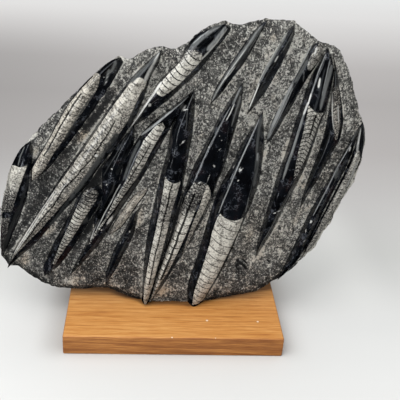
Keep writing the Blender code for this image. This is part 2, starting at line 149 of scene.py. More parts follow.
# One entry a spear: relief height, bottom tip, top tip and stations. A station is Z, then X at the left foot
# of the flank, the left shoulder, the right shoulder and the right foot.
SPEARS_SEEN = {
    "a": (7.0, (-157.5, 69), (-127, 187), (
        (80, -158.5, -157.3, -156, -152.5), (95, -158, -155.8, -152.5, -146.5),
        (110, -156, -153.5, -149, -140.5), (125, -154.5, -151, -144.5, -135),
        (140, -150.5, -147.3, -140, -130.5), (155, -147, -143.5, -134, -129),
        (166, -142.5, -139, -130, -126.8), (178, -136, -133.5, -127.8, -125.3))),
    "b": (8.0, (-128.5, 147), (-52.7, 261.5), (
        (160, -128.5, -125.5, -117, -113.5), (175, -120, -117.5, -110, -102.3),
        (190, -111.5, -109, -100, -91.3), (205, -104, -101.5, -91, -81), (220, -95.5, -93, -82.5, -71.5),
        (235, -84.5, -82, -73.5, -62), (250, -70, -68, -62.5, -54), (259, -59, -57.5, -54.5, -50.3))),
    "c": (10.5, (-154.5, 57.5), (-20, 269.5), (
        (72, -149.7, -148, -146.5, -141), (85, -143.7, -142, -137, -127.3), (100, -134.7, -133, -125, -116),
        (120, -122.3, -120.3, -109, -101), (145, -108.5, -105.5, -89, -81), (165, -95.7, -92.6, -76, -69),
        (190, -79.5, -76.8, -57.5, -51.5), (205, -70.2, -67.9, -49, -43), (220, -61.2, -58.5, -41.5, -36),
        (235, -51.2, -48.2, -35.8, -31.2), (248, -41.5, -38.5, -31, -27.5),
        (260, -30.5, -28.4, -24, -21.3))),
    "d": (10.0, (-46, 199), (28.7, 292), (
        (210, -40, -39, -37, -31.5), (222, -33.5, -32.5, -28, -19), (232, -27.5, -26.3, -16, -8.5),
        (242, -22.5, -20.5, -5, 0.3), (252, -14, -12, 3.5, 9.8), (262, -5, -3.5, 10.5, 16.8),
        (272, -1.5, 1, 17, 23.3), (281, 5, 8, 24, 29.5), (288, 16, 18, 28, 33))),
    "e": (8.0, (-121.5, 49), (-70.5, 147), (
        (58, -122.3, -117, -113.5, -110.5), (70, -118, -112, -108, -101), (85, -112.2, -107, -98.5, -92),
        (100, -104.8, -100.5, -90, -84), (115, -97.5, -94.5, -82.5, -76.5), (130, -91, -88.5, -74.5, -69),
        (140, -84.3, -82.4, -72.5, -67))),
    "f": (8.5, (-98.5, 50), (6, 236), (
        (62, -94, -92, -90, -87.8), (75, -87.8, -85.5, -82, -78.5), (90, -81, -79, -72.5, -68),
        (120, -67.3, -65, -57.5, -52.5), (150, -53.5, -51, -42, -35.5), (165, -50, -46, -34, -28),
        (180, -44, -40, -26.5, -21), (195, -36, -32, -18.5, -14), (208, -25.5, -22.5, -12.5, -8),
        (220, -12, -9.5, -4, 0))),
    "g": (11.0, (-26.5, 5), (7.3, 238), (
        (25, -30.8, -29.3, -25, -22.3), (60, -30, -27, -18.5, -15), (80, -29, -24.5, -15, -10.5),
        (100, -27, -21.5, -11.5, -6), (120, -24, -19, -8.5, -2.5), (140, -20.7, -16, -4, 2),
        (155, -18.3, -14, -1.5, 3.3), (185, -12.3, -9, 1.5, 7), (200, -10.7, -7, 3, 8.3),
        (215, -5, -2, 5, 8.8), (228, 2.3, 4, 6.5, 8.5))),
    "h": (10.0, (-26, 12), (47.3, 246.5), (
        (30, -21.8, -20.5, -19, -17.5), (45, -18, -16.5, -13.5, -9), (60, -14.5, -13, -7, -2.5),
        (80, -9, -7.5, 2, 7.6), (110, -1, 0.8, 14, 19.2), (140, 3.5, 7, 24.5, 29.4),
        (155, 6.5, 11, 28.5, 33.3), (170, 11.3, 15.5, 32, 37.7), (185, 17.5, 20.5, 35, 40.5),
        (200, 23.5, 26, 38, 43.4), (215, 29.5, 32, 41, 45.8), (230, 37, 39.5, 44, 47.5))),
    "j": (11.5, (17, 4), (65.7, 221.5), (
        (25, 13, 17.3, 26, 29), (40, 12.1, 19, 32, 35.8), (55, 14.3, 22, 38, 42), (70, 18, 24.7, 42.8, 47.3),
        (85, 21, 27.7, 47.5, 52), (100, 23.7, 29.7, 51.5, 55.7), (115, 26.5, 32.7, 55.5, 59.7),
        (130, 29.7, 36.5, 60, 64.3), (145, 33.6, 40.3, 63, 67.7), (160, 39.3, 44, 65, 69.8),
        (175, 45.5, 48.5, 65.5, 70.2), (190, 50, 53.5, 65.5, 70), (205, 57.5, 59.5, 65, 68))),
    "k": (6.0, (20.3, 223), (62, 297), (
        (235, 22.8, 24.5, 26, 30), (250, 29.7, 32, 34.5, 39.2), (265, 37.7, 41, 43.5, 48.4),
        (280, 46.5, 49, 52, 55), (290, 53.2, 55, 57, 59))),
    "l": (7.0, (52, 215.5), (83, 295.5), (
        (228, 53.7, 54.7, 56.5, 60.3), (240, 57.3, 58.3, 61.5, 67.3), (252, 60.6, 62, 66, 72.7),
        (265, 66.3, 68.5, 72.5, 77.8), (278, 72.7, 75, 78.5, 82), (288, 78, 79.7, 82, 84))),
    "m": (7.0, (71.3, 189.5), (103.5, 281), (
        (200, 71.8, 73.5, 75.5, 78.3), (212, 74, 77.5, 80, 83.2), (225, 79, 82.3, 85.5, 89),
        (238, 83.3, 86, 90, 94.2), (250, 88, 91, 95, 99), (262, 92.5, 95.5, 101, 105),
        (272, 95.7, 98.5, 106, 109.5), (278, 98.3, 100.5, 106, 108))),
    "n": (10.5, (74, 74.5), (112.3, 277.5), (
        (90, 73.7, 75.5, 78, 80.7), (105, 75.3, 78, 84, 87.2), (120, 77.8, 81, 88, 91.7),
        (150, 82.6, 86.5, 98, 101.8), (165, 85, 88.5, 102.5, 106.8), (180, 88.5, 91.5, 106, 110.3),
        (195, 91, 94.5, 109, 113.2), (210, 93.2, 97, 111.5, 115.6), (225, 96.3, 100.5, 115, 119),
        (240, 98.8, 103, 116.5, 120), (255, 102.5, 106, 116.5, 120.5), (266, 107.5, 109.3, 115, 117.6))),
    "o": (6.0, (108.3, 126), (117, 272), (
        (140, 109.3, 110.5, 111.5, 113.3), (155, 111.3, 113.5, 117, 119.6),
        (170, 114.4, 117.5, 121.5, 124.9), (185, 117.6, 121.5, 127, 130), (200, 119.5, 124, 131, 135),
        (212, 120.5, 124, 131, 135.2), (225, 120.7, 122.7, 129, 132.6), (240, 120.9, 122.2, 125.5, 128),
        (255, 120.5, 121.2, 122.4, 123.6))),
    "p": (8.0, (97.5, 50), (151.5, 214.5), (
        (65, 101, 103, 106, 109), (80, 105.7, 109, 113, 117), (110, 113.7, 117, 122.5, 127),
        (125, 117.8, 121.5, 126.5, 130.8), (140, 123.3, 127, 131.5, 135), (155, 128.7, 131.3, 136, 139.5),
        (170, 133.7, 135.8, 140, 144), (185, 139.3, 141, 144, 147.3), (200, 144.3, 145.8, 147.3, 149.3))),
    "q": (5.0, (117.5, 77), (151.5, 215), (
        (90, 120.5, 122.5, 125, 127), (105, 125.5, 128, 130.5, 132.5), (120, 129.7, 132.5, 136, 138.5),
        (150, 138.7, 141.5, 146, 149), (165, 143, 146.5, 150, 153), (180, 146.7, 149.5, 153.5, 156.5),
        (195, 149, 150.5, 154, 156.5), (206, 150, 151, 153, 155))),
    "r": (6.0, (-65, 41.5), (-34, 126), (
        (52, -65.3, -63.5, -61.5, -58.5), (65, -62, -59.5, -56, -52.3), (80, -57.5, -54.5, -50, -46.2),
        (95, -51, -48.5, -44, -40), (108, -45.5, -43.5, -40, -37.3), (118, -41.5, -40, -38, -36))),
    "s": (3.0, (-62, 95), (-27.5, 146), (
        (105, -59.5, -57, -53, -50), (118, -52, -49, -45, -42), (130, -45.5, -42.5, -38.5, -35),
        (140, -38, -35, -31.5, -29))),
    "x": (5.5, (-75.5, 99), (-40.5, 204), (
        (115, -75, -73, -71, -68.3), (130, -68.5, -66, -63.5, -60.3), (145, -68, -64, -58, -54),
        (160, -68, -61.5, -55, -51), (175, -61, -56, -50, -46), (190, -51.5, -48.5, -43.5, -40.5))),
}

# The pale shells. Each has its left and right edges as (Z, X) pairs from the bottom up, the curve of its
# upper boundary from left to right, and its greyness as (Z, value) pairs: 0 is clean, and above 0.7 it
# darkens. Septa are the dark partitions: their spacing at the bottom and the top, how far each sags, where
# across it is lowest from -1 to 1, how much of the sag it gets back on the right, and how strong it is. Some
# shells are also warmer, greyer on the right than on the left (sides), which is painted light on their left
# and painted shade on their right, or have their septa moved by a share of their spacing (phase).
SHELLS_SEEN = {
    "a": [dict(
        left=((114, -170), (163, -160)), right=((117.5, -146.5), (125, -144.3), (140, -139.5), (155, -134)),
        top=((-141, 162.7), (-137.3, 161), (-130.7, 163.3)),
        grey=((113, 1.2), (131, 1.2), (140, 0.45), (150, 0.05)), septa=(5.0, 6.0, 1.5, 0.0, 1.0, 0.25),
    ), dict(
        left=((66, -170), (110, -165)), right=((70, -157), (80, -155.5), (95, -152), (108, -149.5)),
        top=((-158, 111.5), (-153, 110.5), (-149, 111.5)), grey=((66, 1.8), (92, 1.7), (110, 1.1)),
        septa=(5.0, 6.0, 1.5, 0.0, 1.0, 0.1),
    )],
    "b": [dict(
        left=((149, -127.5), (160, -127), (175, -118.7), (190, -110.3), (205, -102.8), (220, -94.5),
            (235, -83), (244, -75)),
        right=((152, -123), (160, -116.5), (175, -108.5), (190, -98.5), (205, -89.3), (220, -79.3),
            (235, -70.8), (243, -69)), top=((-74.5, 247), (-71, 247.5), (-68.5, 245)),
        grey=((150, 0.45), (200, 0.35), (225, 0.3), (245, 0.5)), septa=(6.0, 7.5, 2.5, 0.0, 1.0, 0.55),
        sides=0.3, warm=0.25,
    )],
    "c": [dict(
        left=((62, -152.5), (72, -148.5), (85, -142.6), (100, -133.7), (120, -121), (145, -106), (165, -93),
            (190, -77), (205, -68), (220, -58.7), (235, -48.5)),
        right=((64, -151.5), (72, -146.5), (85, -135.5), (100, -122.5), (120, -107), (145, -88), (165, -75),
            (190, -56.3), (205, -47.6), (220, -41), (230, -37.3), (236, -33.5), (241, -31.7)),
        top=((-43, 243.5), (-37, 245.5), (-31.5, 242.5)),
        grey=((60, 0.6), (150, 0.5), (195, 0.45), (210, 0.35), (224, 0.25), (240, 0.05)),
        septa=(5.5, 7.0, 3.0, 0.0, 1.0, 0.6), sides=0.12, warm=0.1,
    )],
    "d": [dict(
        left=((232, -24), (238, -22), (244, -18.5), (252, -12), (260, -5.5), (266, -2.5)),
        right=((229.5, -18.5), (234, -12.5), (241, -5), (250, 2.5), (258, 9), (263, 13)),
        top=((0, 269.5), (6, 270), (11, 267.5)), grey=((230, 0.02), (256, 0.05), (268, 0.7)),
        septa=(5.0, 6.2, 3.0, 0.1, 1.0, 1.0),
    )],
    "e": [dict(
        left=((63, -113.5), (70, -111), (85, -105.7), (100, -99.5), (115, -93.5), (130, -87.8)),
        right=((63, -111), (70, -107.5), (85, -98.5), (100, -90), (115, -82.2), (130, -73.5), (138, -71)),
        top=((-83.5, 141), (-79, 144.5), (-72.5, 141)), grey=((64, 0.6), (85, 0.45), (122, 0.4), (132, 1.0)),
        septa=(3.2, 4.2, 2.2, 0.1, 1.0, 0.95),
    )],
    "f": [dict(
        left=((84, -81.5), (97, -75.5), (113, -65), (120, -62.3), (135, -56), (150, -48), (165, -41.5),
            (178, -37), (190, -33), (200, -26)),
        right=((86, -79), (97, -72.5), (115, -62), (125, -56), (135, -50), (145, -44), (155, -37.3),
            (165, -32.3), (175, -28.5), (185, -24), (195, -19)),
        top=((-22, 205), (-17.5, 207), (-15.3, 203)), grey=((84, 1.0), (120, 0.65), (160, 0.5), (190, 0.15)),
        septa=(3.6, 4.6, 1.6, 0.1, 1.0, 0.8),
    )],
    "g": [dict(
        left=((19, -28), (25, -29), (40, -28.7), (60, -26.3), (80, -23.5), (100, -20.3), (120, -17.7),
            (140, -15), (154, -13.6)),
        right=((19, -26), (25, -24.5), (40, -21), (60, -17.3), (80, -13.3), (100, -9.5), (120, -6.7),
            (140, -2.3), (151, 0)),
        top=((-13.3, 156.7), (-10.7, 152.7), (-6.7, 150.3), (-2.7, 150.7), (0, 152.7)),
        grey=((20, 0.3), (95, 0.08), (106, 0.1), (112, 0.6), (134, 0.6), (141, 0.2)),
        septa=(6.0, 8.6, 3.4, 0.0, 1.0, 0.6),
    )],
    "h": [dict(
        left=((21, -23.7), (35, -20), (49, -17), (65, -13), (80, -9), (97, -4.6), (107, -1.9), (126, 2),
            (140, 6), (150, 11)),
        right=((23, -22), (37, -16), (47, -12), (57, -6.7), (70, -2), (83, 2.7), (99, 8), (111, 11.3),
            (125, 15.3), (140, 20.7)), top=((12, 152.5), (16, 151.5), (19, 153), (22.5, 148)),
        grey=((22, 0.3), (80, 0.1), (118, 0.0), (125, 1.1), (138, 1.2), (148, 0.8)),
        septa=(3.1, 12.5, 3.4, 0.2, 1.0, 1.0), sides=0.1, phase=0.8,
    ), dict(
        left=((77, 5.3), (94.7, 9.3), (110.7, 13.2), (124.7, 17.5), (140.7, 21.3)),
        right=((78, 6.5), (100, 14.4), (108.7, 17), (122.7, 22.4), (138, 27.4)),
        top=((22.5, 151), (25, 149), (27.3, 143)), grey=((77, 0.5), (120, 0.3), (135, 0.15)),
        septa=(3.4, 4.2, -3.0, 0.0, 1.0, 0.6), warm=0.1,
    )],
    "j": [dict(
        left=((19, 17.5), (21, 18), (35, 19), (46, 21.3), (61, 24.7), (77, 27.7), (90, 30.3), (101, 31.3),
            (116, 34.7)),
        right=((21, 24), (27, 29.3), (40, 34), (53, 39.3), (67, 44), (83, 49.3), (95, 52.7), (108, 56.7)),
        top=((37.3, 121.3), (41.3, 117.3), (46.7, 114.7), (51.3, 114.3), (56, 116), (58.7, 118.7)),
        grey=((20, 0.25), (60, 0.05), (118, 0.0)), septa=(5.1, 10.0, 8.3, 0.4, 0.14, 0.85), phase=0.67,
    )],
    "m": [dict(
        left=((258, 98), (262.7, 97.3), (271.3, 100), (276.7, 102.7)),
        right=((256.7, 100), (260.7, 103.3), (266, 106.7), (271.3, 110.7)),
        top=((104.5, 280.5), (108, 281), (111, 277)), grey=((256, 0.3), (280, 0.65)),
        septa=(4.6, 5.6, -1.6, 0.0, 1.0, 0.6),
    )],
    "n": [dict(
        left=((157, 99.5), (163, 99.3), (183, 100), (203, 102), (219, 103)),
        right=((157, 100), (163, 103), (180, 107.8), (200, 111.8), (216, 114.8)),
        top=((103.3, 227.5), (106.7, 224), (110.7, 221.3), (114.7, 220.7), (117.3, 222)),
        grey=((157, 1.0), (170, 0.5), (190, 0.4), (215, 0.35)), septa=(3.4, 4.0, -3.4, 0.0, 1.0, 0.9),
    )],
    "o": [dict(
        left=((197, 130.8), (200, 129.5), (210, 126.8), (220, 124), (230, 121.5)),
        right=((197, 132), (200, 132.5), (210, 132.7), (220, 131.3), (230, 129.7)),
        top=((121.3, 243), (124, 246), (126.5, 243)), grey=((197, 0.7), (215, 0.6), (235, 1.1)),
        septa=(3.0, 3.6, 1.6, 0.0, 1.0, 0.5), warm=0.2,
    )],
    "q": [dict(
        left=((78, 118), (90, 122), (105, 127.3), (120, 131.5), (150, 141), (165, 145.7), (180, 149.5)),
        right=((79, 119.5), (90, 127), (105, 132.5), (120, 138), (150, 148.5), (165, 152.6), (180, 155.5)),
        top=((150.5, 187), (152.5, 188), (154.5, 186)), grey=((78, 0.8), (150, 0.55), (185, 0.4)),
        septa=(5.0, 6.0, 1.0, 0.0, 1.0, 0.0),
    )],
    "s": [dict(
        left=((97, -61.5), (105, -59), (118, -51.5), (130, -45), (140, -37.5)),
        right=((97, -60), (105, -51), (118, -43), (130, -36.5), (140, -30)),
        top=((-31.5, 145), (-29.5, 146), (-28.5, 144.5)),
        grey=((96, 0.8), (114, 0.25), (131, 0.2), (145, 0.6)), septa=(5.0, 6.0, 1.0, 0.0, 1.0, 0.0),
        warm=0.3,
    )],
}

# Siphuncles: the dark tube along a shell, as its width and its points from the top down.
SIPHUNCLES_SEEN = {
    "b": (1.3, ((-84, 230), (-90.7, 220), (-96.7, 209), (-102, 200), (-106.7, 190.5), (-112.7, 179),
        (-116.7, 172.7))),
    "c": (1.1, ((-56.7, 207), (-63.3, 194), (-71.3, 181), (-76, 172), (-85.3, 160.7), (-90.7, 152.7),
        (-100, 143), (-110.7, 124), (-116.7, 116.7), (-123.3, 107.3), (-130, 97.3), (-137.3, 85.3))),
    "f": (1.0, ((-27, 187), (-31, 178), (-38, 165), (-46, 149))),
    "g": (1.2, ((-6.7, 149), (-8.7, 142), (-10, 130), (-14, 109), (-14.7, 102), (-16, 94.7), (-17.3, 86.7),
        (-19.3, 76.7), (-21.5, 60), (-24, 42))),
    "h": (2.0, ((13.3, 140.7), (10.7, 132.7), (8, 123.3), (6.7, 117.3), (4.7, 110), (2.7, 103.3),
        (0.7, 96.7), (-0.7, 88.7), (-3.3, 81.3), (-5.3, 72.7), (-8, 64.7), (-10.7, 55.3), (-13.3, 48))),
    "n": (1.5, ((110.7, 219), (109.3, 209), (108, 199))),
}

# Pale specks in the black: X, Z, length, width and lean from upright in degrees.
SPECKS_SEEN = {
    "b": ((-66, 244, 1.8, 1.2, 0),),
    "c": ((-72.5, 174.5, 3.6, 3.2, 0),),
    "d": ((-28.5, 222, 3.4, 2.6, 30),),
    "e": ((-113, 56, 3.0, 2.0, 30),),
    "f": ((-61, 111.5, 12.0, 2.8, 30), (-68.5, 101, 2.4, 1.6, 30), (-90, 64, 2.0, 1.2, 30)),
    "g": ((-2.6, 221.5, 6.0, 2.2, -55), (-0.6, 220.5, 7.0, 2.0, 30), (0.5, 219, 4.6, 1.8, 80),
          (0.5, 190, 5.0, 1.7, 40), (-2, 187, 1.6, 1.1, 0), (-10.5, 172, 1.4, 0.9, 0)),
    "h": ((28.5, 168.5, 2.8, 1.8, -40), (33, 193, 1.4, 1.0, 0), (22.5, 186, 1.8, 1.4, 0),
          (31, 197, 1.4, 0.9, 0), (32, 184, 3.0, 0.8, 50), (36, 175, 3.0, 0.8, 10),
          (24.5, 157, 8.0, 0.9, 14), (21.5, 150.5, 4.0, 0.9, 50), (17, 152, 3.4, 1.6, 60)),
    "j": ((52.2, 165.5, 5.0, 1.6, 40), (51, 165.5, 5.0, 1.5, 0), (50.5, 155, 2.4, 1.7, 70),
          (45.5, 168.5, 4.0, 1.0, 20)),
    "m": ((102.5, 273, 8.0, 2.2, 8), (98.5, 263, 4.0, 1.4, 10)),
    "n": ((90, 125.5, 4.4, 1.6, 60), (86.5, 123.5, 3.4, 1.6, 70)),
    "p": ((121, 115.5, 4.0, 2.4, 10), (117.5, 106, 4.4, 1.2, 0), (117.5, 94.5, 3.0, 1.0, 25)),
    "q": ((151.5, 184.5, 1.8, 1.4, 0),),
    "r": ((-43.2, 100, 3.0, 1.4, 0), (-51.5, 88.5, 3.4, 0.9, -10)),
    "x": ((-59.5, 162.5, 2.2, 1.8, 0), (-54, 188, 3.6, 1.8, 20), (-64, 147, 2.4, 1.4, 20)),
}

# Painted reflections and highlights on edges and facets, where the black stone is painted paler and is less
# polished, and thin dark lines between them: what each is, its width at its first and last point, and its
# points. The later ones lie over the earlier. A tone is from 0 to 255.
SHEEN_BAND_TONES = {
    "black": 0, "dark": 22, "slate": 58, "dim": 92, "soft": 126, "clear": 158, "bright": 192, "glint": 226,
}
SHEEN_BANDS_SEEN = {
    "a": (("soft", 1.0, 0.8, ((-138.5, 163), (-136, 172), (-132, 181))),
          ("dark", 2.6, 3.6, ((-130, 152), (-134.5, 137), (-139, 124), (-145, 110), (-149.5, 98),
              (-156, 78))),
          ("dark", 0.8, 0.8, ((-144, 162), (-147, 150), (-149, 140)))),
    "b": (("soft", 2.6, 1.6, ((-61.8, 250.5), (-63.5, 244), (-65.3, 237))),
          ("glint", 0.8, 0.8, ((-62.5, 247), (-64.5, 239))),
          ("soft", 2.8, 1.8, ((-56.5, 257.5), (-58.5, 252), (-61, 248))),
          ("dim", 2.2, 1.6, ((-73, 247.5), (-65, 256), (-58, 261))),
          ("slate", 1.6, 1.6, ((-73, 232), (-88, 208), (-98, 190)))),
    "c": (("dim", 2.6, 3.4, ((-22, 266.5), (-30, 256.5), (-38, 248), (-45, 240.5))),
          ("slate", 1.0, 1.0, ((-24, 262), (-33, 251), (-40, 245))),
          ("bright", 3.2, 1.6, ((-33, 242.5), (-30, 250), (-26.5, 257), (-22.5, 266))),
          ("dark", 0.8, 0.8, ((-36.5, 244.5), (-32.5, 251.5), (-27.5, 260))),
          ("slate", 4.5, 4.5, ((-55, 195), (-66, 178))),
          ("dim", 4.5, 3.6, ((-66, 178), (-72, 168), (-86, 146), (-97, 130))),
          ("slate", 3.6, 3.6, ((-97, 130), (-104.5, 118), (-114, 104))),
          ("bright", 1.0, 1.0, ((-106.5, 140), (-120, 118), (-132.5, 97), (-146, 74))),
          ("glint", 0.7, 0.7, ((-108.5, 140), (-122.3, 118), (-134.5, 97), (-147.5, 74))),
          ("slate", 0.8, 0.8, ((-122, 92), (-142, 71)))),
    "d": (("glint", 1.2, 2.4, ((-45, 200), (-41, 207), (-36, 215), (-30, 225.5), (-24, 235), (-20, 242))),
          ("dim", 3.6, 3.6, ((3, 272), (10, 279), (18, 286), (25, 291))),
          ("clear", 0.9, 0.9, ((4, 275), (10, 281), (16, 286))),
          ("clear", 4.0, 2.8, ((16, 270.5), (20.5, 276), (24.5, 282), (28.5, 289))),
          ("bright", 1.4, 1.2, ((12, 263), (17, 269), (23, 277), (30, 288))),
          ("black", 1.6, 1.2, ((7, 270), (26, 288)))),
    "e": (("slate", 1.2, 1.0, ((-84, 138.5), (-88, 127))),),
    "f": (("clear", 2.2, 1.6, ((-35, 195), (-27, 202), (-20, 208.5), (-14, 214.5), (-9, 219))),
          ("soft", 1.1, 0.9, ((-11, 217.5), (-3, 224.5), (3, 231))),
          ("dim", 2.6, 2.2, ((-36, 190), (-41, 178), (-44.5, 168), (-47, 160), (-49.5, 152))),
          ("bright", 1.0, 0.9, ((-52, 148), (-56, 140), (-60, 130), (-65, 120), (-70, 108), (-73, 101))),
          ("bright", 1.2, 1.1, ((-70.5, 113), (-74, 104), (-76, 98), (-78.3, 90))),
          ("dark", 1.8, 1.8, ((-28, 172), (-38, 153), (-48, 130)))),
    "g": (("black", 3.2, 3.0, ((-17.5, 158), (-15, 174), (-12.5, 188), (-9.5, 202))),
          ("dim", 1.0, 0.8, ((6.5, 233), (2.5, 221), (2.5, 205), (1.5, 200))),
          ("slate", 0.9, 0.9, ((-6.5, 210), (-11, 197))),
          ("soft", 0.8, 0.8, ((-19, 137), (-19, 125)))),
    "h": (("clear", 0.5, 0.5, ((11, 150), (14.7, 162), (18, 172), (22.5, 186), (29, 202), (33, 212),
              (38, 223))),
          ("soft", 1.0, 0.9, ((27, 197), (31, 207), (36.5, 220))),
          ("soft", 2.2, 1.8, ((40, 226), (45, 240))),
          ("soft", 2.0, 1.0, ((45.5, 233), (43.5, 222), (41.5, 212), (40.5, 206))),
          ("glint", 0.9, 0.9, ((35.5, 211), (38.5, 218), (41, 226))),
          ("slate", 0.8, 0.8, ((38, 206), (37.5, 190), (36, 175)))),
    "j": (("clear", 1.0, 1.0, ((36, 122), (38, 130), (40.3, 138), (43, 147), (46, 157.5), (49, 168),
              (52.3, 179), (57, 194), (60.5, 205), (63, 213))),
          ("dim", 2.6, 2.2, ((65, 214), (64, 205), (63.8, 195), (64, 186), (64.8, 178))),
          ("dim", 3.6, 3.0, ((65.5, 182), (65.5, 166), (65, 150))),
          ("clear", 2.0, 1.6, ((65.3, 182), (65.5, 175))),
          ("slate", 1.1, 1.1, ((66, 172), (64, 160), (63, 148), (61.5, 139))),
          ("soft", 0.8, 1.1, ((61.5, 139), (60.8, 130), (60, 123)))),
    "k": (("soft", 2.2, 3.6, ((22.5, 228), (27.5, 240), (36.5, 257), (47, 275), (57, 291))),
          ("dim", 0.9, 0.9, ((24, 233), (30.5, 249), (40, 266), (52, 285))),
          ("bright", 0.9, 0.9, ((22.5, 228), (28.2, 241), (35.5, 255), (46.5, 273))),
          ("glint", 0.9, 0.8, ((31, 246), (35.5, 252), (39, 258))),
          ("dim", 1.0, 0.8, ((48, 270), (53, 280), (58, 291)))),
    "l": (("soft", 2.8, 2.8, ((61, 250), (66.5, 263), (71, 273), (77, 286))),
          ("bright", 1.1, 1.0, ((57.5, 240), (63.2, 257), (68.2, 268), (73.3, 280), (79, 290))),
          ("glint", 1.2, 1.1, ((53.5, 222), (57, 234), (60, 245))),
          ("soft", 1.0, 1.0, ((60, 245), (62.3, 250), (67, 261))),
          ("glint", 1.0, 0.9, ((70.6, 263), (72.8, 268))),
          ("dim", 0.8, 0.8, ((76, 272), (79.5, 280), (82.5, 288))),
          ("slate", 0.8, 0.8, ((80.5, 272), (82.5, 282)))),
    "m": (("clear", 3.4, 5.4, ((72, 196), (74, 203), (77, 212), (80, 222), (83, 233), (86.5, 246))),
          ("slate", 0.7, 0.7, ((74, 200), (79.5, 216), (84, 231), (88, 244))),
          ("clear", 1.2, 1.2, ((86, 245), (91, 258), (95, 268), (99, 280))),
          ("dim", 2.6, 2.4, ((89.5, 247), (94, 258), (97, 266))),
          ("soft", 0.9, 0.9, ((95.5, 256), (96, 247)))),
    "n": (("soft", 2.0, 2.2, ((90, 158), (92.5, 172), (95, 185), (97, 198), (98.8, 209), (100.3, 220))),
          ("bright", 1.8, 1.6, ((100, 219), (102.5, 230))),
          ("glint", 1.2, 1.2, ((102.6, 228), (104, 238))),
          ("clear", 1.0, 0.9, ((104, 237), (107, 255), (111, 271))),
          ("glint", 1.8, 1.5, ((109.3, 243), (109.5, 251))),
          ("soft", 2.4, 3.4, ((113.7, 224), (114.2, 232), (115.3, 242), (116.5, 252), (117.5, 262))),
          ("clear", 0.9, 0.9, ((113.2, 236), (114.2, 250), (115.3, 267))),
          ("dim", 0.8, 0.8, ((99, 148), (96, 138), (92, 128), (90, 124))),
          ("dim", 0.9, 0.8, ((90, 124), (87, 113), (83, 103), (80, 95))),
          ("slate", 0.8, 0.8, ((104, 262), (100, 250)))),
    "o": (("dim", 0.8, 0.8, ((121, 258), (124, 242))),
          ("black", 2.4, 2.0, ((125, 203), (121.5, 184), (117.5, 168), (113.5, 154))),
          ("bright", 0.9, 0.9, ((121.5, 240), (124, 222), (127.5, 207))),
          ("bright", 0.9, 0.9, ((127.8, 229), (131, 213)))),
    "p": (("clear", 0.9, 0.9, ((122, 122), (126, 135), (130, 148), (133.5, 160), (136.5, 171),
              (145.5, 195))),
          ("glint", 1.3, 1.2, ((144.5, 187), (145, 191))),
          ("dim", 2.2, 1.8, ((145, 197), (147.5, 207))),
          ("dim", 2.2, 2.2, ((136.5, 160), (137.5, 171))),
          ("slate", 1.0, 0.9, ((114, 101), (111.5, 93)))),
    "q": (("bright", 1.8, 2.0, ((150.5, 209), (150.8, 197), (151.5, 187))),
          ("clear", 1.0, 1.0, ((153.5, 178), (151, 165), (148, 152))),
          ("soft", 0.9, 0.9, ((152.5, 214), (155.5, 200), (157, 188), (156.5, 180))),
          ("dark", 1.0, 1.0, ((151, 215), (153, 205), (155, 187), (153.5, 178)))),
    "r": (("slate", 2.0, 2.2, ((-46, 90), (-50, 80), (-53.3, 72))),
          ("dim", 1.0, 1.0, ((-49, 94.5), (-43.5, 93)))),
    "x": (("dim", 0.9, 0.8, ((-48, 193), (-56, 176), (-62, 165), (-67, 155))),
          ("slate", 0.8, 0.8, ((-46, 196), (-53, 178), (-58, 165))),
          ("soft", 0.8, 0.8, ((-51.3, 157), (-51, 164))),
          ("dark", 3.0, 2.4, ((-55, 157), (-51.5, 166)))),
}

# Where the black stone is a dark reddish brown: width at the first and last point, and the points.
RUST_SEEN = {
    "c": ((5.5, 3.5, ((-113, 105), (-122, 92), (-133, 79), (-141, 72))),),
    "e": ((4.0, 2.5, ((-97, 82), (-102, 72), (-112, 60))),),
    "f": ((3.0, 2.6, ((-68, 94), (-74, 86), (-80, 75), (-86, 67))),),
    "n": ((2.0, 1.6, ((97, 160), (94.5, 146))),),
    "o": ((2.4, 2.4, ((129, 205), (131, 196))),),
    "p": ((1.8, 1.6, ((136, 153), (133, 140))),),
}
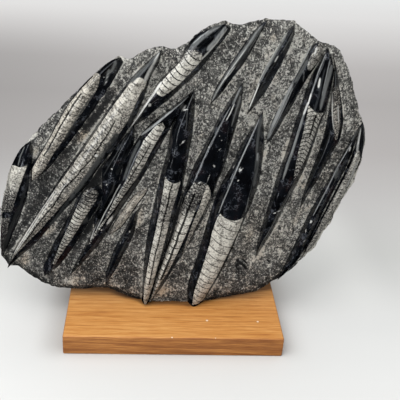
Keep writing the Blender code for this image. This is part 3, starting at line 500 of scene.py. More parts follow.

# Places on the matrix that are paler, or darker with a negative strength: X, Z, length, width, lean from
# upright in degrees, strength and how warm. They are partly the stone's own tone and partly painted light and
# shade, such as painted light on the strip low on the right that faces away from the light and painted shade
# low on the left of the rim.
PATCHES_SEEN = (
    (-128, 121, 84, 13, 31, -1.25, 0.1), (-119, 156, 40, 12, 35, -1.1, 0.1),
    (-155, 80, 30, 12, 20, -1.0, 0.1), (-102, 108, 40, 6, 38, -1.5, 0.1), (-43, 53, 28, 16, 20, -1.4, 0.1),
    (-30, 128, 12, 8, 20, -0.8, 0.3), (127, 90, 34, 9, 24, 2.6, 0.0), (126, 160, 24, 8, 18, -1.4, 0.4),
    (-69, 217, 60, 8, 35, -1.4, 0.3), (-138, 101, 30, 7, 33, -0.7, 0.0), (-77, 45, 26, 12, 70, -1.0, 0.3),
    (113, 275, 16, 9, -50, -0.9, 0.0), (-21, 161, 28, 6, 8, -0.9, 0.2), (-35, 115, 18, 8, 20, -0.7, 0.2),
    (-71, 74, 28, 12, 30, -0.8, 0.3), (-126, 80, 28, 10, 40, -0.7, 0.1), (85, 266, 26, 10, 20, -0.7, 0.0),
    (61, 220, 20, 7, 10, 0.9, 0.1), (-84, 56, 24, 13, 35, -0.8, 0.1), (28, 240, 28, 12, 30, 0.35, 0.1),
    (72, 74, 9, 6, 20, 0.8, 0.5), (-137, 68, 16, 7, 10, 0.75, 0.7), (-95, 45, 12, 8, 60, 0.6, 0.4),
    (-10, 36, 16, 8, 40, 0.6, 0.8), (-124.5, 191, 7, 4, 40, 2.8, 0.1), (88, 186, 18, 3, 12, 0.7, 0.3),
    (72, 182, 15, 3, 10, 0.5, 0.2), (60.5, 66, 13, 8, -20, -0.4, 0.0), (64, 270, 9, 5, 10, 0.8, 0.4),
    (55, 230, 8, 6, 10, 0.6, 0.3), (108, 120, 30, 5, 15, 0.5, 0.7), (-72, 108, 16, 5, 38, 0.5, 0.9),
    (14, 180, 60, 3.5, 5, 0.5, 0.2), (92, 52, 14, 10, 30, 0.3, 0.4), (56, 75, 6, 2, 50, 1.3, 0.2),
    (54, 70, 6, 1.8, 0, 1.1, 0.4), (73, 45, 30, 8, 80, -0.45, 0.0), (-60, 36, 50, 6, 88, -0.4, 0.0),
    (-115, 44, 24, 5, 60, -0.4, 0.0), (130, 230, 60, 9, -15, 0.35, 0.1), (95, 282, 16, 9, -60, 0.4, 0.1),
    (-70, 215, 36, 5, 33, -0.3, 0.0), (20, 262, 22, 12, 30, -0.15, 0.0), (60, 55, 12, 5, 0, -0.5, 0.0),
    (22.5, 112, 46, 5, 14, 0.1, 0.4), (-28, 134, 7, 4, 20, 0.8, 0.4), (-111, 100, 13, 4, 45, 0.7, 0.3),
    (109, 151, 7, 3, 10, 0.9, 0.9), (106, 161, 4, 3, 0, 0.9, 0.9), (117, 131, 4, 3, 0, 0.9, 0.9),
    (114.5, 128, 4, 2.5, 0, 0.9, 0.9), (104, 150, 26, 2.4, 15, 0.9, 0.3), (-123, 175, 5, 3, 30, 0.9, 0.2),
    (-141, 90, 36, 2.0, 32, 0.8, 0.1), (-37.5, 253, 9, 1.6, 45, 1.4, 0.0), (97, 82, 12, 6, -40, 1.0, 0.2),
    (78, 79, 14, 4, 25, 0.9, 0.5), (-85.5, 48, 4, 2.6, 30, 1.6, 0.1), (-83, 54, 6, 2.4, 75, 0.9, 0.0),
    (-93, 44, 14, 6, 10, 0.8, 0.5), (-11, 33, 10, 3, 30, 0.8, 0.8), (8.5, 57, 7, 2.5, 30, 0.8, 0.1),
    (52, 44, 10, 2.5, 35, 0.8, 0.4), (55, 56, 16, 2.5, -5, 0.7, 0.5), (38, 33, 9, 7, 60, -0.9, 0.0),
    (104, 92, 5, 2.5, -30, 1.2, 0.3), (67, 102, 16, 5, 10, 0.5, 0.4), (-34, 115, 18, 5, 8, 0.8, 0.7),
    (-36, 92, 14, 5, 10, -0.5, 0.2), (152, 175, 90, 16, 0, 0.8, 0.2), (140, 118, 44, 12, 18, 0.7, 0.4),
    (145, 222, 60, 10, -22, 0.5, 0.1), (-88, 192, 64, 8, 40, -1.4, 0.5), (-84, 192, 14, 6, 40, 1.3, 1.4),
    (-150, 92, 60, 8, 14, -0.5, 0.0), (-95, 62, 50, 14, 40, -0.5, 0.0), (-72, 158, 40, 8, 38, -1.5, 0.2),
    (-64, 172, 30, 5, 33, -1.2, 0.2), (-140, 66, 14, 8, 20, 0.7, 0.9), (56, 210, 4, 4, 0, 1.6, 0.2),
    (68.5, 205, 24, 2, 8, 1.1, 0.1), (71.5, 181, 13, 2.8, 8, 2.3, 0.2), (88, 187, 19, 3.2, 12, 2.0, 0.4),
    (96, 83, 6, 4, -30, 1.0, 0.1), (102, 92, 5, 3, 20, 1.0, 0.2), (80, 87, 6, 4, 0, 0.8, 0.6),
    (88, 67, 8, 2, 40, 1.2, 0.1), (140, 212, 8, 4, -20, 1.2, 0.1), (-10, 35, 24, 14, 70, 0.7, 0.6),
    (112, 178, 70, 9, 14, 0.7, 0.2), (128, 163, 66, 9, 20, 0.2, 0.2), (88, 270, 44, 18, -30, 0.8, 0.0),
    (66, 100, 60, 14, 12, -0.2, 0.6), (90, 95, 44, 16, 20, 0.0, 0.4), (67, 282, 6, 6, 0, 1.2, 0.7),
    (-38, 252, 13, 1.8, 40, 1.6, 0.0), (-44, 262.5, 12, 2.5, 55, 1.4, 0.0), (134, 239, 14, 3, -20, 1.1, 0.1),
    (-74, 152, 36, 12, 38, -3.0, 0.0), (-75, 116, 44, 9, 30, -3.0, 0.0), (-86, 90, 60, 8, 28, -1.0, 0.0),
    (-112, 76, 34, 15, 38, -1.0, 0.3), (-60, 60, 40, 16, 40, -0.7, 0.3), (-114, 101, 14, 8, 38, 0.7, 0.7),
    (-84, 100, 36, 6, 30, -1.2, 0.0), (-124, 118, 50, 8, 25, -0.6, 0.0), (-123, 176, 13, 3, 8, 1.2, 0.4),
    (-28, 247, 14, 3, 28, 0.4, 0.0), (40, 255, 60, 14, 25, 0.35, 0.1), (60, 245, 50, 10, 20, 0.3, 0.1),
)
# Cracks and pits in the matrix: width and points.
CRACKS_SEEN = (
    (0.8, ((-27.5, 143), (-33, 138.5), (-37, 132))), (0.8, ((-28, 110), (-37, 103), (-36, 92))),
    (2.6, ((56.5, 72.5), (60.5, 69), (64, 66), (66.5, 62.5))), (1.8, ((57.5, 68.5), (57, 64), (60, 60.5))),
    (1.8, ((62, 73.5), (66, 69))), (2.0, ((85.5, 73.5), (87.5, 71))),
    (1.2, ((104, 113), (106, 106), (105, 100))),
)
# Pale lines on the matrix, or dark with a negative strength: strength, width and points.
STREAKS_SEEN = (
    (1.3, 1.7, ((-56, 230), (-68, 210), (-81, 190), (-95, 165), (-105, 150), (-115, 133))),
    (1.0, 1.6, ((-115, 133), (-124, 119), (-133, 106), (-147, 78))),
    (1.2, 1.2, ((-50, 200), (-62, 181), (-76, 160), (-90, 138), (-100, 122))),
    (1.3, 1.2, ((-44, 198), (-60, 172), (-74, 148))), (1.0, 1.2, ((-52, 170), (-66, 140), (-74, 118))),
    (-3.5, 3.4, ((-16, 50), (-8.5, 85), (-3, 112), (2.5, 140))), (2.6, 1.2, ((86, 69.5), (88, 65.5))),
    (1.4, 1.5, ((96, 128), (88, 105), (80, 85), (75, 76))), (1.2, 1.4, ((105, 158), (110, 180), (115, 205))),
    (1.1, 1.2, ((122, 150), (130, 175), (136, 195))),
    (-3.0, 1.4, ((6.5, 80), (13.5, 95), (19.5, 110), (25, 125), (30, 141))),
    (0.5, 1.6, ((-113, 106), (-104, 117), (-95, 128))), (0.9, 1.6, ((-120, 172), (-116, 182), (-112, 190))),
)


def curve_through(knots, values, at):
    """Values at the given places on a smooth curve through the knots that never overshoots them."""
    gaps = np.diff(knots)
    slopes = np.diff(values) / gaps
    before, after = slopes[:-1], slopes[1:]
    inner = np.where(after * before > 0, 2 * after * before / (after + before + 1e-12), 0)
    tangents = np.concatenate([slopes[:1], inner, slopes[-1:]])
    at = np.clip(at, knots[0], knots[-1])
    i = np.clip(np.searchsorted(knots, at, side="right") - 1, 0, len(gaps) - 1)
    t = (at - knots[i]) / gaps[i]
    return (
        (2 * t**3 - 3 * t**2 + 1) * values[i] + (t**3 - 2 * t**2 + t) * gaps[i] * tangents[i]
        + (3 * t**2 - 2 * t**3) * values[i + 1] + (t**3 - t**2) * gaps[i] * tangents[i + 1]
    )


def eased(low, high, value):
    """0 at low and beyond, 1 at high and beyond, and a smooth step between them."""
    t = np.clip((value - low) / (high - low), 0, 1)
    return t * t * (3 - 2 * t)


def wobble(x, z, size, seed):
    """Smooth noise from -1 to 1 whose lumps are about size across."""
    x, z = x / size + seed * 17.3, z / size + seed * 5.1
    column, row = np.floor(x), np.floor(z)
    fx, fz = eased(0, 1, x - column), eased(0, 1, z - row)

    def corner(dx, dz):
        return (np.sin((column + dx) * 127.1 + (row + dz) * 311.7) * 43758.5453) % 1 * 2 - 1

    low = corner(0, 0) * (1 - fx) + corner(1, 0) * fx
    high = corner(0, 1) * (1 - fx) + corner(1, 1) * fx
    return low * (1 - fz) + high * fz


def lumps(x, z, layers):
    """The layers of noise added up, each a height, a size and a seed."""
    return sum(height * wobble(x, z, size, seed) for height, size, seed in layers)


# The slab's stone


def outline_reach():
    """Distance from the centre to the outline, in even steps of angle from -pi."""
    angles = np.linspace(-math.pi, math.pi, ANGLE_COUNT + 1)
    rays = np.stack([np.cos(angles), np.sin(angles)], 1)
    reach = np.zeros(len(angles))
    outline = np.array(OUTLINE_MM) - CENTRE_MM
    for start, end in zip(np.roll(outline, 1, axis=0), outline):
        edge = end - start
        cross = rays[:, 0] * edge[1] - rays[:, 1] * edge[0]
        cross = np.where(np.abs(cross) < 1e-9, 1e-9, cross)
        along = (start[0] * edge[1] - start[1] * edge[0]) / cross
        share = (start[0] * rays[:, 1] - start[1] * rays[:, 0]) / cross
        hit = (along > 0) & (share >= -1e-6) & (share <= 1 + 1e-6)
        reach = np.where(hit, np.maximum(reach, along), reach)
    return angles, reach


REACH_ANGLES, REACH_MM = outline_reach()


def out_share(x, z):
    """How far out a place is: 0 at the slab's centre and 1 at its outline."""
    dx, dz = x - CENTRE_MM[0], z - CENTRE_MM[1]
    return np.hypot(dx, dz) / np.interp(np.arctan2(dz, dx), REACH_ANGLES, REACH_MM)


def stone_y(x, z):
    """Y of the slab's stone between the spears, in millimetres."""
    share = np.minimum(1, out_share(x, z))
    rim = np.maximum(0, (share - RIM_START) / (1 - RIM_START))
    plain = FACE_Y_MM - FACE_BULGE_MM * (1 - share**2) + RIM_DROP_MM * rim**2
    return plain + lumps(x, z, FACE_LUMPS_MM)


def pecks(x, z):
    """Small pits and lumps that the tools left in the matrix, in millimetres towards +Y."""
    depth, size, seed = PECK_PITS_MM
    pit_x, pit_z, half_width, half_height, pit_depth = PIT_MM
    pit = eased(0.15, 1.0, 1 - np.hypot((x - pit_x) / half_width, (z - pit_z) / half_height))
    return lumps(x, z, PECK_LUMPS_MM) + depth * eased(0.5, 0.9, wobble(x, z, size, seed)) + pit_depth * pit


def seen(points):
    """X and Z of points in millimetres as the camera's place sees them on the plane Y = SEEN_PLANE_MM."""
    eye = np.array(CAMERA_MM)
    scale = (SEEN_PLANE_MM - eye[1]) / (points[:, 1] - eye[1])
    return eye[[0, 2]] + (points[:, [0, 2]] - eye[[0, 2]]) * scale[:, None]


def placed(x, z, y):
    """The point at depth y that is seen at x and z on the plane Y = SEEN_PLANE_MM."""
    scale = (y - CAMERA_MM[1]) / (SEEN_PLANE_MM - CAMERA_MM[1])
    eye_x, _, eye_z = CAMERA_MM
    return np.stack([eye_x + (x - eye_x) * scale, y, eye_z + (z - eye_z) * scale], -1)


def linked(name, data):
    """A new object in the scene."""
    made = bpy.data.objects.new(name, data)
    bpy.context.scene.collection.objects.link(made)
    return made


def mesh_object(name, points, faces, marks=None):
    """An object from points in millimetres, with one number a point for each named mark."""
    mesh = bpy.data.meshes.new(name)
    mesh.from_pydata((np.asarray(points) * MM).tolist(), [], faces)
    for mark, values in (marks or {}).items():
        mesh.attributes.new(mark, "FLOAT", "POINT").data.foreach_set("value", np.asarray(values, np.float32))
    return linked(name, mesh)


def cut_foot(shape):
    """Cuts the shape off level just above the base and closes the cut."""
    everything = shape.verts[:] + shape.edges[:] + shape.faces[:]
    foot = (0, 0, FOOT_Z_MM * MM)
    cut = bmesh.ops.bisect_plane(shape, geom=everything, plane_co=foot, plane_no=(0, 0, 1), clear_inner=True)
    edges = [item for item in cut["geom_cut"] if isinstance(item, bmesh.types.BMEdge)]
    bmesh.ops.edgenet_fill(shape, edges=edges)


def finish_mesh(made, reaches_foot=False):
    """Turns the faces outwards and smooths them, after cutting the foot off if there is one."""
    shape = bmesh.new()
    shape.from_mesh(made.data)
    if reaches_foot:
        cut_foot(shape)
    bmesh.ops.recalc_face_normals(shape, faces=shape.faces)
    shape.to_mesh(made.data)
    shape.free()
    for face in made.data.polygons:
        face.use_smooth = True


def ring_faces(rings, count):
    """Quads between rings of points, each with the same count."""
    first = np.arange(count)
    second = (first + 1) % count
    faces = []
    for a in range(0, (rings - 1) * count, count):
        b = a + count
        faces += np.stack([a + first, a + second, b + second, b + first], 1).tolist()
    return faces


def closed_faces(rings, count):
    """The same, with a fan over each end to the two points that come after the rings."""
    total = rings * count
    faces = ring_faces(rings, count)
    for start, tip in ((0, total), (total - count, total + 1)):
        faces += [(start + i, start + (i + 1) % count, tip) for i in range(count)]
    return faces


def polygon_field(points, polygon):
    """Signed distance in millimetres from each point to a closed polygon, positive inside."""
    polygon = np.asarray(polygon, float)
    distance = np.full(len(points), 1e9)
    inside = np.zeros(len(points), bool)
    for start, end in zip(polygon, np.roll(polygon, -1, axis=0)):
        edge, offset = end - start, points - start
        t = np.clip(offset @ edge / max(edge @ edge, 1e-9), 0, 1)
        distance = np.minimum(distance, np.linalg.norm(offset - t[:, None] * edge, axis=1))
        crosses = (start[1] > points[:, 1]) != (end[1] > points[:, 1])
        inside ^= crosses & (points[:, 0] < start[0] + offset[:, 1] * edge[0] / (edge[1] or 1))
    return np.where(inside, distance, -distance)


def line_field(points, line, start_width, end_width, tips=1e-6):
    """How far inside a tapering line through the given places each point is. It is negative outside.

    Over the share of its length that tips says, the line thins towards its ends.
    """
    line = np.asarray(line, float)
    ends = np.concatenate([[0], np.cumsum(np.linalg.norm(np.diff(line, axis=0), axis=1))])
    best = np.full(len(points), -1e9)
    for start, end, low, high in zip(line, line[1:], ends / ends[-1], ends[1:] / ends[-1]):
        edge, offset = end - start, points - start
        t = np.clip(offset @ edge / (edge @ edge), 0, 1)
        along = low + (high - low) * t
        width = start_width + (end_width - start_width) * along
        width *= eased(-tips, tips, np.minimum(along, 1 - along))
        best = np.maximum(best, width / 2 - np.linalg.norm(offset - t[:, None] * edge, axis=1))
    return best


def ellipse_field(points, x, z, length, width, lean):
    """How far inside an ellipse that leans by so many degrees each point is. It is negative outside."""
    angle = math.radians(lean)
    dx, dz = points[:, 0] - x, points[:, 1] - z
    along = dx * math.sin(angle) + dz * math.cos(angle)
    across = dx * math.cos(angle) - dz * math.sin(angle)
    return (1 - np.hypot(along / (length / 2), across / (width / 2))) * width / 2


def spear_table(bottom, top, stations):
    """A spear's stations between its two tips, as rows of Z and four X."""
    first, last = ((z, x, x, x, x) for x, z in (bottom, top))
    return np.array([first, *stations, last], float)


def spear_borders(spots):
    """How close each place is to a spear's foot, from 0 to 1, and less on a spear's left."""
    borders = np.zeros(len(spots))
    for _, bottom, top, stations in SPEARS_SEEN.values():
        rows = spear_table(bottom, top, stations)
        outline = np.concatenate([rows[:, [1, 0]], rows[::-1, [4, 0]][1:-1]])
        low, high = outline.min(axis=0) - BORDER_MM, outline.max(axis=0) + BORDER_MM
        near = np.flatnonzero(((spots > low) & (spots < high)).all(axis=1))
        middle = np.interp(spots[near, 1], rows[:, 0], rows[:, 1:].mean(axis=1))
        # The border is partly paler stone and partly painted light where the stone faces the light, weaker on
        # the left.
        share = eased(-BORDER_MM, -BORDER_FULL_MM, polygon_field(spots[near], outline))
        share *= np.where(spots[near, 0] > middle, 1.0, LEFT_BORDER_SHARE)
        borders[near] = np.maximum(borders[near], share)
    return borders


def matrix_marks(points):
    """The numbers that the matrix's material reads."""
    spots = seen(points)
    # Painted shade on the slab's rim, low down.
    underside = eased(*UNDERSIDE_RIM, out_share(points[:, 0], points[:, 2]))
    pale = -UNDERSIDE_SHADE * underside * eased(*UNDERSIDE_FROM_CENTRE_MM, points[:, 2] - CENTRE_MM[1])
    warm = np.zeros(len(points))
    # Patches: partly the stone's own tone and partly painted light and shade.
    for *ellipse, strength, warmth in PATCHES_SEEN:
        edge = PATCH_EDGE * ellipse[3]
        share = eased(-edge, edge, ellipse_field(spots, *ellipse))
        pale += share * strength
        warm += share * warmth
    for strength, width, line in STREAKS_SEEN:
        field = line_field(spots, line, width, width, STREAK_TIPS)
        pale += strength * eased(-STREAK_EDGE_MM, STREAK_EDGE_MM, field)
    crack = np.full(len(points), -NO_MARK_MM)
    for width, line in CRACKS_SEEN:
        crack = np.maximum(crack, line_field(spots, line, width, width))
    front = eased(*MARKS_END_MM, points[:, 1])
    return {
        "pale": pale * front, "warm": warm * front, "crack": crack * front - NO_MARK_MM * (1 - front),
        "border": spear_borders(spots) * front,
    }


def matrix_rings():
    """Rings of points on the stone without its spears, from mid front round to mid back."""
    step = np.arange(RING_POINTS) / RING_POINTS * 2 * math.pi - math.pi
    reach = np.interp(step, REACH_ANGLES, REACH_MM)
    for _ in range(2):
        reach = 0.25 * np.roll(reach, 1) + 0.5 * reach + 0.25 * np.roll(reach, -1)

    def ring(share, rough):
        away = reach * share + rough
        return CENTRE_MM[0] + away * np.cos(step), CENTRE_MM[1] + away * np.sin(step)

    jag = lumps(*ring(1, 0), RIM_LUMPS_MM)
    rings = []
    for share in (np.arange(1, FRONT_RINGS + 1) / FRONT_RINGS) ** FRONT_RING_POWER:
        x, z = ring(share, jag * eased(RIM_START, 1, share))
        rings.append(np.stack([x, stone_y(x, z) + pecks(x, z), z], 1))
    rim_y = rings[-1][:, 1]
    height, size, seed = BACK_RIDGES_MM
    for angle in np.linspace(0, math.pi / 2, BACK_RINGS + 1)[1:-1]:
        share = math.cos(angle) ** BACK_WIDTH_POWER
        x, z = ring(share, jag * share**3)
        rough = lumps(x, z, BACK_LUMPS_MM) + height * np.abs(wobble(x, z, size, seed))
        depth = BACK_DEPTH_MM * math.sin(angle) ** BACK_DEPTH_POWER
        rings.append(np.stack([x, rim_y + depth + rough * math.sin(angle), z], 1))
    return rings


def stone_matrix():
    rings = matrix_rings()
    middles = [[[CENTRE_MM[0], ring[:, 1].mean(), CENTRE_MM[1]]] for ring in (rings[0], rings[-1])]
    points = np.concatenate(rings + middles)
    made = mesh_object("stone_matrix", points, closed_faces(len(rings), RING_POINTS), matrix_marks(points))
    finish_mesh(made, reaches_foot=True)
    return made


# The spears


def spear_rows(bottom, top, stations):
    """Z and the four edge lines of a spear's rows, evenly spaced along it."""
    table = spear_table(bottom, top, stations)
    middle = table[:, 1:].mean(axis=1)
    runs = np.concatenate([[0], np.cumsum(np.hypot(np.diff(table[:, 0]), np.diff(middle)))])
    count = max(LEAST_ROWS, round(runs[-1] / ROW_STEP_MM))
    at = np.interp(np.linspace(0, runs[-1], count + 1)[1:-1], runs, table[:, 0])
    return at, [curve_through(table[:, 0], table[:, column], at) for column in range(1, 5)]


def spear_surface(height, rows):
    """X, Y and Z as seen of every point of a spear, and its distance from the flank's foot."""
    z, (left, left_shoulder, right_shoulder, right) = rows
    width, crest = right - left, right_shoulder - left_shoulder
    rise = height * np.tanh(width / (FULL_HEIGHT_WIDTH * height))
    crest_count = int(np.clip(math.ceil(crest.max() / COLUMN_STEP_MM), *CREST_COLUMNS))
    even = np.linspace(-1, 1, crest_count + 1)

    def flank(edge, shoulder, steps, gain):
        slope = shoulder - edge
        return [(edge + slope * t, SHOULDER_SHARE * t * rise, abs(slope) * t * gain) for t in steps]

    middle, far = (left_shoulder + right_shoulder) / 2, np.full(len(z), NO_MARK_MM)
    columns = flank(left, left_shoulder, FLANK_STEPS, LEFT_FOOT_GAIN)
    for s in 0.5 * np.sin(even * math.pi / 2) + 0.5 * even:
        columns.append((middle + s * crest / 2, (1 - (1 - SHOULDER_SHARE) * s * s) * rise, far))
    columns += flank(right, right_shoulder, FLANK_STEPS[::-1], 1)
    x, up, foot = (np.stack(column, 1) for column in zip(*columns))
    for shoulder in (len(FLANK_STEPS), len(FLANK_STEPS) + crest_count):
        near = up.copy()
        for column in (shoulder - 1, shoulder, shoulder + 1):
            up[:, column] = 0.25 * near[:, column - 1] + 0.5 * near[:, column] + 0.25 * near[:, column + 1]
    base_left, base_right = stone_y(left, z)[:, None], stone_y(right, z)[:, None]
    share = (x - x[:, :1]) / np.maximum(width, 1e-6)[:, None]
    sunk = np.minimum(SINK_MM, 0.6 * width + 0.4)[:, None]
    y = np.hstack([base_left + sunk, base_left * (1 - share) + base_right * share - up, base_right + sunk])
    x = np.hstack([x[:, :1], x, x[:, -1:]])
    foot = np.pad(foot, ((0, 0), (1, 1)), constant_values=-1)
    return x, y, np.repeat(z[:, None], x.shape[1], axis=1), foot


def shell_polygon(shell):
    left, right = ([(x, z) for z, x in shell[side]] for side in ("left", "right"))
    return left + list(shell["top"]) + right[::-1]


def shell_across(spots, shell):
    """Where across a shell each place is, from -1 at its left edge to 1 at its right."""
    left, right = (np.interp(spots[:, 1], *zip(*shell[side])) for side in ("left", "right"))
    return np.clip(2 * (spots[:, 0] - left) / np.maximum(right - left, 0.5) - 1, -1, 1)


def septa_field(spots, shell):
    """A number that is whole on each septum of a shell, and the millimetres between septa."""
    low, high, sag, lowest, regained, _ = shell["septa"]
    start = (np.array(shell["left"][0]) + shell["right"][0])[::-1] / 2
    end = np.mean(shell["top"], axis=0)
    length = np.linalg.norm(end - start)
    along = (spots - start) @ ((end - start) / length)
    across = shell_across(spots, shell)
    before = 1 - ((across - lowest) / (1 + lowest)) ** 2
    after = 1 - regained * ((across - lowest) / (1 - lowest)) ** 2
    along = along + sag * (0.3 + 0.7 * along / length) * np.where(across < lowest, before, after)
    count = length / (high - low) * np.log(np.maximum(1 + (high - low) * along / (low * length), 1e-3))
    return count + shell.get("phase", 0.0), np.maximum(low + (high - low) * along / length, 1.0)


def shell_marks(letter, spots):
    """How far inside a shell each place is, and that shell's greyness, warmth and septa."""
    marks = {name: np.zeros(len(spots)) for name in ("septa", "spacing", "septa_strength", "grey", "warm")}
    marks["shell"] = np.full(len(spots), -NO_MARK_MM)
    for shell in SHELLS_SEEN.get(letter, ()):
        field = polygon_field(spots, shell_polygon(shell))
        mine = field > marks["shell"]
        septa, spacing = septa_field(spots, shell)
        grey = np.interp(spots[:, 1], *zip(*shell["grey"]))
        # sides: painted light on a shell's left and painted shade on its right.
        grey = grey + shell.get("sides", 0.0) * shell_across(spots, shell)
        for name, values in (
            ("shell", field), ("septa", septa), ("spacing", spacing), ("septa_strength", shell["septa"][-1]),
            ("grey", grey), ("warm", shell.get("warm", 0.0)),
        ):
            marks[name] = np.where(mine, values, marks[name])
    return marks


def sheen_marks(letter, spots):
    """The tone of the painted reflections and highlights and of the drawn lines, and how much of it shows."""
    sheen, shown = np.zeros(len(spots)), np.zeros(len(spots))
    for kind, start_width, end_width, line in SHEEN_BANDS_SEEN.get(letter, ()):
        soft = 0.3 + 0.13 * max(start_width, end_width)
        share = eased(-soft, soft, line_field(spots, line, start_width, end_width, BAND_TIPS) - 0.1)
        shown = np.maximum(shown, share)
        sheen += (SHEEN_BAND_TONES[kind] / 255 - sheen) * share / np.maximum(shown, 1e-6)
    return {"sheen": sheen, "sheen_share": shown}


def spear_marks(letter, spots, foot):
    """The numbers that the fossils' material reads."""
    tube = np.full(len(spots), NO_MARK_MM)
    if letter in SIPHUNCLES_SEEN:
        width, line = SIPHUNCLES_SEEN[letter]
        tube = np.minimum(tube, -line_field(spots, line, width, width))
    speck = np.full(len(spots), -NO_MARK_MM)
    for ellipse in SPECKS_SEEN.get(letter, ()):
        speck = np.maximum(speck, ellipse_field(spots, *ellipse))
    rust = np.zeros(len(spots))
    for start_width, end_width, line in RUST_SEEN.get(letter, ()):
        field = line_field(spots, line, start_width, end_width, RUST_TIPS)
        rust = np.maximum(rust, eased(-RUST_EDGE_MM, RUST_EDGE_MM, field))
    own = {"siphuncle": tube, "speck": speck, "rust": rust, "foot": np.minimum(foot, NO_MARK_MM)}
    return own | shell_marks(letter, spots) | sheen_marks(letter, spots)


def spear(letter, height, bottom, top, stations):
    x, y, z, foot = spear_surface(height, spear_rows(bottom, top, stations))
    rows, columns = x.shape
    ends = np.array([bottom, top], float)
    tips = placed(*ends.T, stone_y(*ends.T) + TIP_SINK_MM)
    points = np.concatenate([placed(x, z, y).reshape(-1, 3), tips])
    spots = np.concatenate([np.stack([x.ravel(), z.ravel()], 1), ends])
    marks = spear_marks(letter, spots, np.append(foot.ravel(), [0, 0]))
    made = mesh_object("spear_" + letter, points, closed_faces(rows, columns), marks)
    finish_mesh(made, reaches_foot=points[:-2, 2].min() < FOOT_Z_MM)
    return made


# Materials


def tone(*screen):
    """A colour given as it looks on screen, 0 to 255, as the linear colour that a shader takes."""
    parts = [v / 255 for v in screen]
    return (*(v / 12.92 if v <= 0.04045 else ((v + 0.055) / 1.055) ** 2.4 for v in parts), 1.0)


BROWNER = (1.0, 0.86, 0.72, 1.0)


class Look:
    """A material under construction. Sizes and depths are given in millimetres. Its place is in metres."""

    def __init__(self, name):
        self.material = bpy.data.materials.new(name)
        self.material.use_nodes = True
        self.nodes = self.material.node_tree.nodes
        self.links = self.material.node_tree.links
        self.shader = self.nodes["Principled BSDF"]
        self.place = self.nodes.new("ShaderNodeTexCoord").outputs["Object"]

    def put(self, socket, value):
        if isinstance(value, bpy.types.NodeSocket):
            self.links.new(value, socket)
        else:
            socket.default_value = value

    def add(self, kind, inputs=(), **settings):
        """A node with these settings and with values or links in these inputs."""
        node = self.nodes.new("ShaderNode" + kind)
        for name, value in settings.items():
            setattr(node, name, value)
        for name, value in inputs:
            self.put(node.inputs[name], value)
        return node

    def mark(self, name):
        return self.add("Attribute", attribute_name=name).outputs["Fac"]

    def parts(self, vector):
        return self.add("SeparateXYZ", [(0, vector)]).outputs

    def maths(self, operation, *values):
        return self.add("Math", enumerate(values), operation=operation).outputs[0]

    def product(self, first, *others):
        for other in others:
            first = self.maths("MULTIPLY", first, other)
        return first

    def plus(self, level, weight, noise):
        """The level raised where the noise is above its middle and lowered where it is below."""
        return self.maths("MULTIPLY_ADD", self.maths("SUBTRACT", noise, 0.5), weight, level)

    def noise(self, size, detail=2.0, roughness=0.55, stretch=(1, 1, 1)):
        """Noise from about 0.3 to 0.7 whose lumps are about size across, drawn out by stretch."""
        scale = [1 / (size * MM * s) for s in stretch]
        place = self.add("Mapping", [("Vector", self.place), ("Scale", scale)]).outputs[0]
        settings = [("Vector", place), ("Scale", 1.0), ("Detail", detail), ("Roughness", roughness)]
        return self.add("TexNoise", settings).outputs["Fac"]

    def band(self, value, low, high, to_low=0.0, to_high=1.0):
        """value eased from to_low at low to to_high at high."""
        names = ("Value", "From Min", "From Max", "To Min", "To Max")
        ends = zip(names, (value, low, high, to_low, to_high))
        return self.add("MapRange", ends, interpolation_type="SMOOTHSTEP").outputs[0]

    def mix(self, share, a, b, how="MIX"):
        """A colour that goes from a to b."""
        return self.add("Mix", [(0, share), (6, a), (7, b)], data_type="RGBA", blend_type=how).outputs[2]

    def tinted(self, share, colour, screen):
        """The colour turned towards a screen tone."""
        return self.mix(share, colour, tone(*screen))

    def warmed(self, share, colour):
        """The colour turned towards brown."""
        return self.mix(share, colour, BROWNER, "MULTIPLY")

    def blend(self, share, a, b):
        """A number that goes from a to b."""
        return self.add("Mix", [(0, share), (2, a), (3, b)]).outputs[0]

    def steps(self, value, stops):
        """A colour read off a row of stops, each a place and a screen tone."""
        node = self.add("ValToRGB", [(0, value)])
        row = node.color_ramp.elements
        while len(row) < len(stops):
            row.new(1.0)
        for element, (position, *screen) in zip(row, stops):
            element.position, element.color = position, tone(*screen)
        return node.outputs[0]

    def bump(self, height, depth, after=None):
        """A normal tilted by a height from 0 to 1 that is depth deep."""
        below = [] if after is None else [("Normal", after)]
        return self.add("Bump", [("Distance", depth * MM), ("Height", height)] + below).outputs[0]

    def finish(self, colour, roughness, normal=None):
        below = [] if normal is None else [("Normal", normal)]
        for name, value in [("Base Color", colour), ("Roughness", roughness)] + below:
            self.put(self.shader.inputs[name], value)
        return self.material


# Rows of stops: a place on the row, then a screen tone from 0 to 255.
MATRIX_TONES = (
    (0.16, 14, 14, 14), (0.34, 34, 34, 34), (0.42, 58, 58, 57), (0.50, 87, 86, 83), (0.57, 120, 119, 114),
    (0.67, 200, 198, 190),
)
BLACK_TONES = ((0.40, 8, 9, 12), (0.58, 16, 19, 24), (0.70, 26, 20, 22))
SHEEN_TONES = (
    (0.0, 8, 9, 11), (0.22, 46, 48, 49), (0.36, 78, 80, 80), (0.5, 114, 116, 115), (0.62, 150, 152, 152),
    (0.75, 192, 192, 188), (0.9, 232, 232, 227),
)
CLEAN_SHELL_TONES = ((0.36, 92, 90, 86), (0.44, 158, 155, 147), (0.55, 216, 213, 203))
GREY_SHELL_TONES = ((0.38, 38, 37, 37), (0.45, 86, 84, 82), (0.53, 138, 136, 130), (0.64, 200, 196, 187))
OAK_TONES = ((0.22, 222, 166, 100), (0.42, 209, 147, 79), (0.60, 192, 127, 62), (0.88, 150, 90, 40))

# Screen tones
FLECK, SPARK, PECK, CRACK = (216, 214, 206), (228, 226, 218), (26, 25, 25), (12, 11, 11)
RUST, GLINT, CHIP, SEPTUM, SPECK = (34, 24, 23), (104, 108, 116), (40, 39, 40), (15, 14, 14), (206, 206, 202)
NICK, SLAB_SHADOW = (236, 226, 208), (66, 40, 20)

